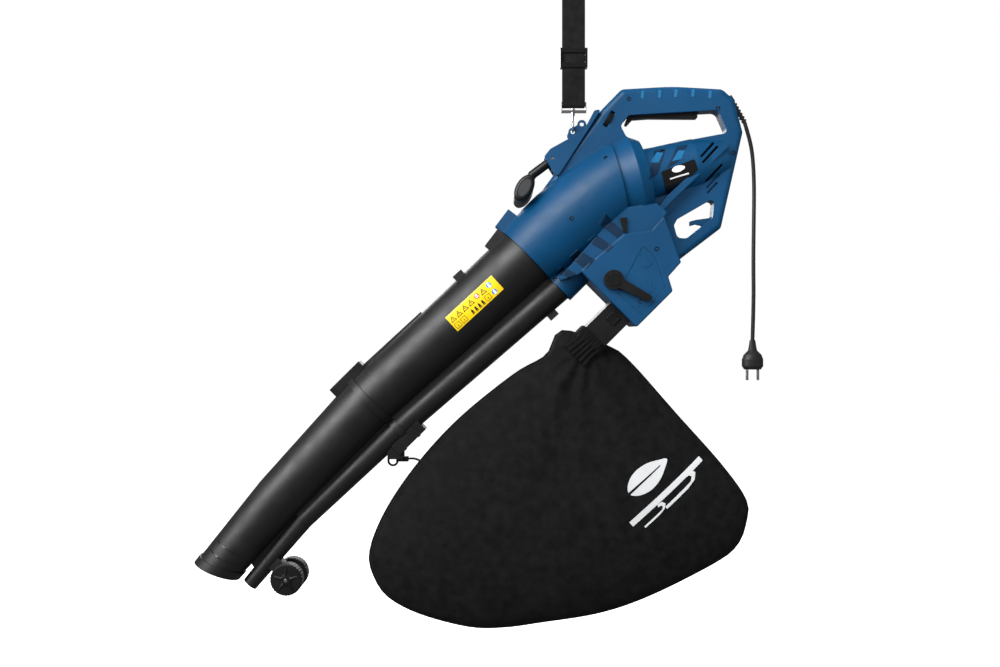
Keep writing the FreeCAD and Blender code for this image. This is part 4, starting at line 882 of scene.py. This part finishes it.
        # Each row of the cuff: along the chute, half its height and half its width.
        rows = (
            (0.089, 0.0272, 0.0456), (0.0905, 0.0284, 0.0468), (0.1055, 0.0284, 0.0468),
            (0.108, 0.027, 0.0454), (0.114, 0.0262, 0.0448), (0.124, 0.0275, 0.0455), (0.140, 0.031, 0.0455),
        )
        band_rows = 3
        count = 120
        verts = []
        for row, (reach, rise, width) in enumerate(rows):
            for step in range(count):
                turn = 2 * math.pi * step / count
                square = (abs(math.cos(turn)) ** 5 + abs(math.sin(turn)) ** 5) ** -0.2
                gather = 0.0016 * math.sin(turn * 23 + 0.5 * row)
                if row < band_rows:
                    gather = 0.0007 * math.sin(turn * 31 + row)
                place = foot + along * reach
                place += up * (math.sin(turn) * square * (rise + gather))
                place += Vector((0, math.cos(turn) * square * (width + gather), 0))
                verts.append(place)
        faces = []
        for row in range(len(rows) - 1):
            for step in range(count):
                after = (step + 1) % count
                faces.append((row * count + step, (row + 1) * count + step,
                              (row + 1) * count + after, row * count + after))
        cuff = from_mesh("bag_cuff", verts, faces)
        face_outwards(cuff)
        keep_modifier(cuff, "SOLIDIFY", thickness=0.0012, offset=-1.0)
        keep_modifier(cuff, "SUBSURF", levels=1, render_levels=1)
        smooth(cuff, 60)
        finished(cuff, Body.BAG, SEAM_CLOTH)
        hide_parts("neck_band")

    def build_tape(self) -> None:
        """Make the tape that ties the bag's far edge to its hook."""
        line = (
            (-0.293, -0.8385), (-0.284, -0.8372), (-0.272, -0.8405), (-0.2645, -0.849), (-0.262, -0.861),
        )
        half = 0.0075
        verts = []
        for x, z in line:
            for column in range(5):
                verts.append((x, -half + half * column / 2, z))
        faces = []
        for row in range(len(line) - 1):
            for column in range(4):
                base = row * 5 + column
                faces.append((base, base + 5, base + 6, base + 1))
        tape = from_mesh("bag_tape", verts, faces)
        keep_modifier(tape, "SUBSURF", levels=2, render_levels=2)
        keep_modifier(tape, "SOLIDIFY", thickness=0.0022, offset=0.0)
        keep_modifier(tape, "BEVEL", width=0.0004, segments=2, limit_method="ANGLE")
        smooth(tape, 45)
        finished(tape, Body.BAG, WEBBING)
        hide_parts("tape_loop")

    def build(self) -> None:
        """Make the bag and everything sewn to it."""
        bag = self.build_shell()
        finished(bag, Body.BAG, BAG_CLOTH)
        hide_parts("bag")
        self.build_binding()
        self.build_hem(bag)
        self.build_print(bag)
        self.build_cuff()
        self.build_tape()


# --- strap ---------------------------------------------------------------------------------------


@dataclass
class Strap:
    """The webbing loop.

    Attributes:
        thickness: of the webbing.
    """

    thickness: float = 0.0018

    def build(self) -> None:
        """Make the loop as a closed band."""
        low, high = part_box("strap")
        half = (high.x - low.x) / 2
        radius = (high.y - low.y) / 2 - self.thickness / 2
        top = high.z - radius - self.thickness / 2
        bottom = low.z + radius + self.thickness / 2
        line = []
        bend = 12
        rows = 60
        for side, start, end in ((-1, top, bottom), (1, bottom, top)):
            for step in range(bend + 1):
                turn = math.pi * (step / bend + (side > 0))
                line.append((radius * math.cos(turn), start + radius * math.sin(turn)))
            for step in range(1, rows):
                line.append((side * radius, start + (end - start) * step / rows))
        verts = []
        columns = 9
        for y, z in line:
            for column in range(columns):
                x = -half + 2 * half * column / (columns - 1)
                verts.append((x, y, z))
        faces = []
        count = len(line)
        for row in range(count):
            after = (row + 1) % count
            for column in range(columns - 1):
                faces.append((row * columns + column, row * columns + column + 1,
                              after * columns + column + 1, after * columns + column))
        band = from_mesh("strap_webbing", verts, faces)
        keep_modifier(band, "SOLIDIFY", thickness=self.thickness, offset=0.0)
        keep_modifier(band, "BEVEL", width=0.0004, segments=2, limit_method="ANGLE")
        smooth(band, 40)
        finished(band, Body.STRAP, WEBBING)
        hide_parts("strap")


# --- small things on the machine ------------------------------------------------------------------


@dataclass
class HousingTrim:
    """Screws, a black liner of painted shade behind the vents, grip dents, glossy panels with a painted
    highlight, grooves and louvres in painted shade, and marks on the housing.

    Attributes:
        screws: (x, z) of the housing's screws in millimetres.
        motor: a point on the motor's axis.
        tilt: the motor axis's rise in degrees.
    """

    screws: tuple = (
        (-34, -522), (52, -315), (139, -471), (111, -562), (252, -222), (96, -205), (280, -300),
        (262, -418), (190, -478), (-8, -420), (152, -300),
    )
    motor: tuple = (0.092, 0.0, -0.3467)
    tilt: float = 14.0

    def near(self) -> bpy.types.Object:
        """The half of the housing that faces the operator."""
        return frame["nodes"]["housing_left"]

    def build_vent_shade(self) -> None:
        """Line the motor casing behind its vents with a black sheet of painted shade."""
        turn = math.radians(self.tilt)
        axis = Vector((math.cos(turn), 0, math.sin(turn)))
        rolls = []
        for low, high, start, end in ((0.087, 0.127, 0.0385, 0.0385), (0.127, 0.176, 0.0385, 0.0265)):
            deselect()
            bpy.ops.mesh.primitive_cone_add(
                vertices=72, radius1=start, radius2=end, depth=high - low, end_fill_type="NOTHING",
                location=Vector(self.motor) + axis * (low + high) / 2,
                rotation=axis.to_track_quat("Z", "Y").to_euler(),
            )
            rolls.append(settle(bpy.context.object))
        shade_liner = join("vent_shade_liner", rolls)
        keep_modifier(shade_liner, "SOLIDIFY", thickness=0.003, offset=-1.0)
        smooth(shade_liner, 40)
        finished(shade_liner, Body.MACHINE, VENT_PAINTED_SHADE)

    def build_screws(self) -> None:
        """Model one recessed screw and copy it to every boss."""
        deselect()
        bpy.ops.mesh.primitive_cylinder_add(vertices=28, radius=0.0036, depth=0.0024,
                                            rotation=(math.radians(90), 0, 0))
        screw = settle(bpy.context.object)
        take(screw)
        bpy.ops.object.mode_set(mode="EDIT")
        bpy.ops.mesh.select_mode(type="FACE")
        bpy.ops.mesh.select_all(action="DESELECT")
        shape = bmesh.from_edit_mesh(screw.data)
        for face in shape.faces:
            face.select = face.normal.y < -0.9
        bmesh.update_edit_mesh(screw.data)
        bpy.ops.mesh.inset(thickness=0.0009)
        bpy.ops.mesh.inset(thickness=0.0008)
        bpy.ops.transform.translate(value=(0, 0.0014, 0))
        bpy.ops.object.mode_set(mode="OBJECT")
        smooth(screw, 30)
        tree = BVHTree.FromObject(self.near(), bpy.context.evaluated_depsgraph_get())
        copies = []
        for x, z in self.screws:
            hit = tree.ray_cast(Vector((x * MM, FRONT, z * MM)), Vector((0, 1, 0)))[0]
            if hit is None:
                continue
            copy = screw.copy()
            copy.data = screw.data.copy()
            copy.location = hit + Vector((0, 0.0002, 0))
            bpy.context.scene.collection.objects.link(copy)
            copies.append(settle(copy))
        bpy.data.objects.remove(screw)
        finished(join("housing_screws", copies), Body.MACHINE, GLOSS)

    def build_grip_dents(self) -> None:
        """Press the five polished dents into the top of the grip, glossy and in a lighter blue that is a
        painted highlight.
        """
        dents = []
        for x, z in ((119.5, -198), (149.5, -196.5), (178, -195.5), (208, -195), (238, -197.5)):
            shape = [(-3.4, -7), (1.8, -7), (4.4, 5), (2.4, 7), (-1.0, 7)]
            dents.append(flat_outline("dent", turned_round(shape, (x, z), 6)))
        strip = join("grip_dents", dents)
        laid_on(strip, self.near(), 0.0008, 0.001, 4)
        finished(strip, Body.MACHINE, BLUE_GLOSS_AND_PAINTED_HIGHLIGHT)

    def build_casing_panels(self) -> None:
        """Lay the two slanted grooves in painted shade and the two polished panels, glossy with a painted
        highlight, on the motor casing.
        """
        shades = [
            flat_outline("shade", [(124, -354), (139, -298), (159, -294), (142.5, -341.6)]),
            flat_outline("shade", [(158.4, -331), (178, -291), (197, -288), (177, -321)]),
        ]
        # The grooves are dark blue strips of painted shade.
        grooves = join("casing_grooves", shades)
        laid_on(grooves, self.near(), 0.0003, 0.0012, 4)
        finished(grooves, Body.MACHINE, BLUE_PAINTED_SHADE)
        panels = [
            flat_outline("panel", [(129, -321), (143, -301), (154, -303), (144, -321)]),
            flat_outline("panel", [(167.3, -319), (179.7, -299), (191, -299), (184, -315)]),
        ]
        # The panels are glossy, and their lighter blue is a painted highlight.
        shine = join("casing_panels", panels)
        laid_on(shine, self.near(), 0.0007, 0.0012, 4)
        finished(shine, Body.MACHINE, BLUE_GLOSS_AND_PAINTED_HIGHLIGHT)

    def build_louvres(self) -> None:
        """Lay the four stepped louvres where the duct meets the outlet box, with their recesses as dark blue
        strips of painted shade.
        """
        steps = [
            [(-33, -508), (-24, -500), (1, -514), (-10, -523)],
            [(-10, -484), (4, -471), (33, -490), (17, -505)],
            [(20, -458), (34, -446), (66, -467), (54, -477)],
            [(40, -428), (50, -411), (84, -442), (72, -452)],
        ]
        rib_width = 4.5
        louvres = join("duct_louvres", [flat_outline("louvre", step) for step in steps])
        laid_on(louvres, self.near(), 0.0004, 0.0014, 4)
        finished(louvres, Body.MACHINE, BLUE_PAINTED_SHADE)
        ribs = []
        for step in steps:
            start, end = Vector(step[0]), Vector(step[1])
            across = (Vector(step[3]) - start).normalized() * rib_width
            ribs.append(flat_outline("rib", [start, end, end + across, start + across]))
        lit = join("duct_louvre_edges", ribs)
        laid_on(lit, self.near(), 0.0014, 0.0012, 4)
        finished(lit, Body.MACHINE, BLUE)

    def build_nameplate_mark(self) -> None:
        """Put the generic mark on the nameplate."""
        plate = frame["nodes"]["nameplate"]
        leaf = [(-12, 0), (-8, 4.4), (0, 6.2), (8, 4), (14, 0), (8, -4), (0, -5.8), (-8, -4)]
        bar = [(-17, -1.2), (17, -1.2), (17, 1.2), (-17, 1.2)]
        marks = [
            flat_outline("mark_leaf", turned_round(leaf, (178, -332), 17), True),
            flat_outline("mark_bar", turned_round(bar, (181, -344), 17)),
        ]
        mark = join("nameplate_mark", marks)
        laid_on(mark, plate, 0.0002, 0.0002, 4)
        finished(mark, Body.MACHINE, LABEL_WHITE)

    def build_selector_marks(self) -> None:
        """Emboss the two positions of the selector, a leaf and a curved arrow."""
        plate = frame["nodes"]["selector_plate"]
        arrow = [
            (0, 0), (5, -1), (9, -6), (10, -13), (14, -12), (9, -21), (2, -15), (6, -14), (5, -8), (2, -4),
            (-1, -3),
        ]
        leaf = [(-9, 0), (-5, 4), (1, 5.5), (7, 3), (11, 0), (7, -3), (1, -5), (-5, -4)]
        dimple = [(2.4 * math.cos(step), 2.4 * math.sin(step)) for step in (0, 1.05, 2.09, 3.14, 4.19, 5.24)]
        marks = [
            flat_outline("arrow", turned_round(arrow, (122, -520), -12, 1.3)),
            flat_outline("leaf", turned_round(leaf, (122, -498), 20, 1.1), True),
            flat_outline("dimple", turned_round(dimple, (110, -481), 0), True),
            flat_outline("dimple", turned_round(dimple, (108, -570), 0), True),
        ]
        mark = join("selector_marks", marks)
        laid_on(mark, plate, 0.0005, 0.0008, 2)
        finished(mark, Body.MACHINE, BLUE)

    def build(self) -> None:
        """Make all of it."""
        self.build_vent_shade()
        self.build_screws()
        self.build_grip_dents()
        self.build_casing_panels()
        self.build_louvres()
        self.build_nameplate_mark()
        self.build_selector_marks()


@dataclass
class SafetyMarks:
    """Plain pictograms on the yellow label.

    Attributes:
        centre: middle of the label in millimetres.
        tilt: slope of its long side in degrees.
    """

    centre: tuple = (-174.5, -567.0)
    tilt: float = 42.6

    def at(self, right: float, up: float) -> tuple:
        """A place on the label, along its long side and square to it."""
        return turned_round([(right, up)], self.centre, self.tilt)[0]

    def build_kind(self, name: str, shapes: list, finish: object, rise: float) -> None:
        """Lay one colour's shapes on the label.

        Args:
            name: name of the joined piece.
            shapes: outlines about the origin with their place, and whether they are round.
            finish: their colour.
            rise: how far they stand proud.
        """
        pieces = []
        for outline, place, curved in shapes:
            pieces.append(flat_outline("mark", turned_round(outline, self.at(*place), self.tilt), curved))
        mark = join(name, pieces)
        laid_on(mark, frame["nodes"]["safety_label"], rise, 0.00015, 3)
        finished(mark, Body.MACHINE, finish)

    def build(self) -> None:
        """Make the pictograms in two rows, one colour above another."""
        first, second, third = 0.0003, 0.00045, 0.0006
        triangle = [(-6, -5), (6, -5), (0, 5.6)]
        inside = [(-3.9, -3.9), (3.9, -3.9), (0, 3)]
        stem = [(-0.6, -2.8), (0.6, -2.8), (0.6, 1), (-0.6, 1)]
        eighths = (0, 0.785, 1.57, 2.36, 3.14, 3.93, 4.71, 5.5)
        disc = [(5.2 * math.cos(step), 5.2 * math.sin(step)) for step in eighths]
        ring_hole = [(0.68 * x, 0.68 * z) for x, z in disc]
        slash = [(-4.2, -0.7), (4.2, -0.7), (4.2, 0.7), (-4.2, 0.7)]
        frame_box = [(-5.5, -5), (5.5, -5), (5.5, 5), (-5.5, 5)]
        frame_hole = [(-4.7, -4.2), (4.7, -4.2), (4.7, 4.2), (-4.7, 4.2)]
        triangles = [(-44, 7), (-30, 7), (-16, 7), (-2, 7), (26, 7)]
        boxes = [(-44, -7), (-30, -7), (26, -7)]
        figures = [(-10, -7), (-2, -7), (6, -7), (14, -7)]
        figure = [(-2.4, -5), (-0.5, -5), (0, -1), (0.6, -5), (2.4, -5), (1.8, 2), (0, 5), (-1.8, 2)]
        dark = [(triangle, place, False) for place in triangles]
        dark += [(frame_box, place, False) for place in boxes]
        dark += [(figure, place, False) for place in figures]
        self.build_kind("label_marks_dark", dark, INK, 0.00015)
        light = [(inside, place, False) for place in triangles]
        light += [(frame_hole, place, False) for place in boxes]
        discs = ((41, 8), (41, -7))
        self.build_kind("label_marks_light", light, YELLOW, first)
        stems = [(stem, place, False) for place in triangles + boxes]
        self.build_kind("label_marks_stems", stems, INK, second)
        self.build_kind("label_discs", [(disc, place, True) for place in discs], LABEL_BLUE, first)
        self.build_kind("label_ring", [(disc, (13, 8), True)], LABEL_RED, first)
        self.build_kind("label_ring_middle", [(ring_hole, (13, 8), True)], LABEL_WHITE, second)
        self.build_kind("label_figures", [(figure, place, False) for place in discs], LABEL_WHITE, second)
        self.build_kind("label_slash", [(slash, (13, 8), False)], LABEL_RED, third)


@dataclass
class NozzleSeams:
    """The two mould lines round the end of the lower tube.

    Attributes:
        lines: both ends and the sagging middle of each line, in millimetres.
        width: across a line.
    """

    lines: tuple = (
        ((-631.5, -971.2), (-606, -989.5), (-577, -1003.6)),
        ((-643.4, -988.7), (-616, -1006.5), (-585, -1020.1)),
    )
    width: float = 1.5

    def build(self) -> None:
        """Lay both lines on the near side of the tube."""
        strips = []
        for line in self.lines:
            lower = [(x - 0.5 * self.width, z - self.width) for x, z in line]
            strips.append(flat_outline("seam", list(line) + lower[::-1]))
        seams = join("nozzle_seams", strips)
        laid_on(seams, frame["nodes"]["lower_tube"], 0.0003, 0.0005, 4)
        finished(seams, Body.MACHINE, GLOSS)


@dataclass
class WheelFaces:
    """The raised five-rayed boss on each wheel.

    Attributes:
        reach: length of a ray in metres.
    """

    reach: float = 0.0205

    def build(self) -> None:
        """Model one star and set it on the outer face of both wheels."""
        for node, body, side in (("wheel_left", Body.LEFT_WHEEL, -1), ("wheel_right", Body.RIGHT_WHEEL, 1)):
            low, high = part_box(node)
            centre = (low + high) / 2
            face = low.y if side < 0 else high.y
            deselect()
            bpy.ops.mesh.primitive_cylinder_add(
                vertices=40, radius=0.0105, depth=0.0024, rotation=(math.radians(90), 0, 0),
                location=(centre.x, face + side * 0.0002, centre.z),
            )
            hub = settle(bpy.context.object)
            keep_modifier(hub, "BEVEL", width=0.0006, segments=2, limit_method="ANGLE")
            rays = [hub]
            for step in range(5):
                turn = math.radians(90 + 72 * step)
                middle = centre + Vector((math.cos(turn), 0, math.sin(turn))) * (self.reach * 0.72)
                deselect()
                bpy.ops.mesh.primitive_cone_add(
                    vertices=4, radius1=0.0036, radius2=0.0016, depth=self.reach * 0.72,
                    location=(middle.x, face, middle.z), rotation=(0, math.radians(90) - turn, 0),
                )
                ray = settle(bpy.context.object)
                keep_modifier(ray, "BEVEL", width=0.0004, segments=2)
                rays.append(ray)
            star = join(f"{node}_star", rays)
            smooth(star, 40)
            finished(star, body, BLACK)


# --- carried nodes -------------------------------------------------------------------------------


def dress_nodes() -> None:
    """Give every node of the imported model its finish."""
    slots = {entry["node"]: entry["material_slot"] for entry in frame["record"]["subparts"]}
    for name, node in frame["nodes"].items():
        finish = TUBE_BLACK if name in TUBE_NODES else NODE_FINISHES[slots[name]]
        for index in range(len(node.material_slots)):
            node.material_slots[index].material = PAINTS.get(finish)
        LOG.info("dressed %s", name)


def main() -> None:
    """Build the scene in order."""
    Studio().build()
    Lead().build()
    dress_nodes()
    Bag().build()
    Strap().build()
    HousingTrim().build()
    SafetyMarks().build()
    NozzleSeams().build()
    WheelFaces().build()
    deselect()


if __name__ == "__main__":
    main()
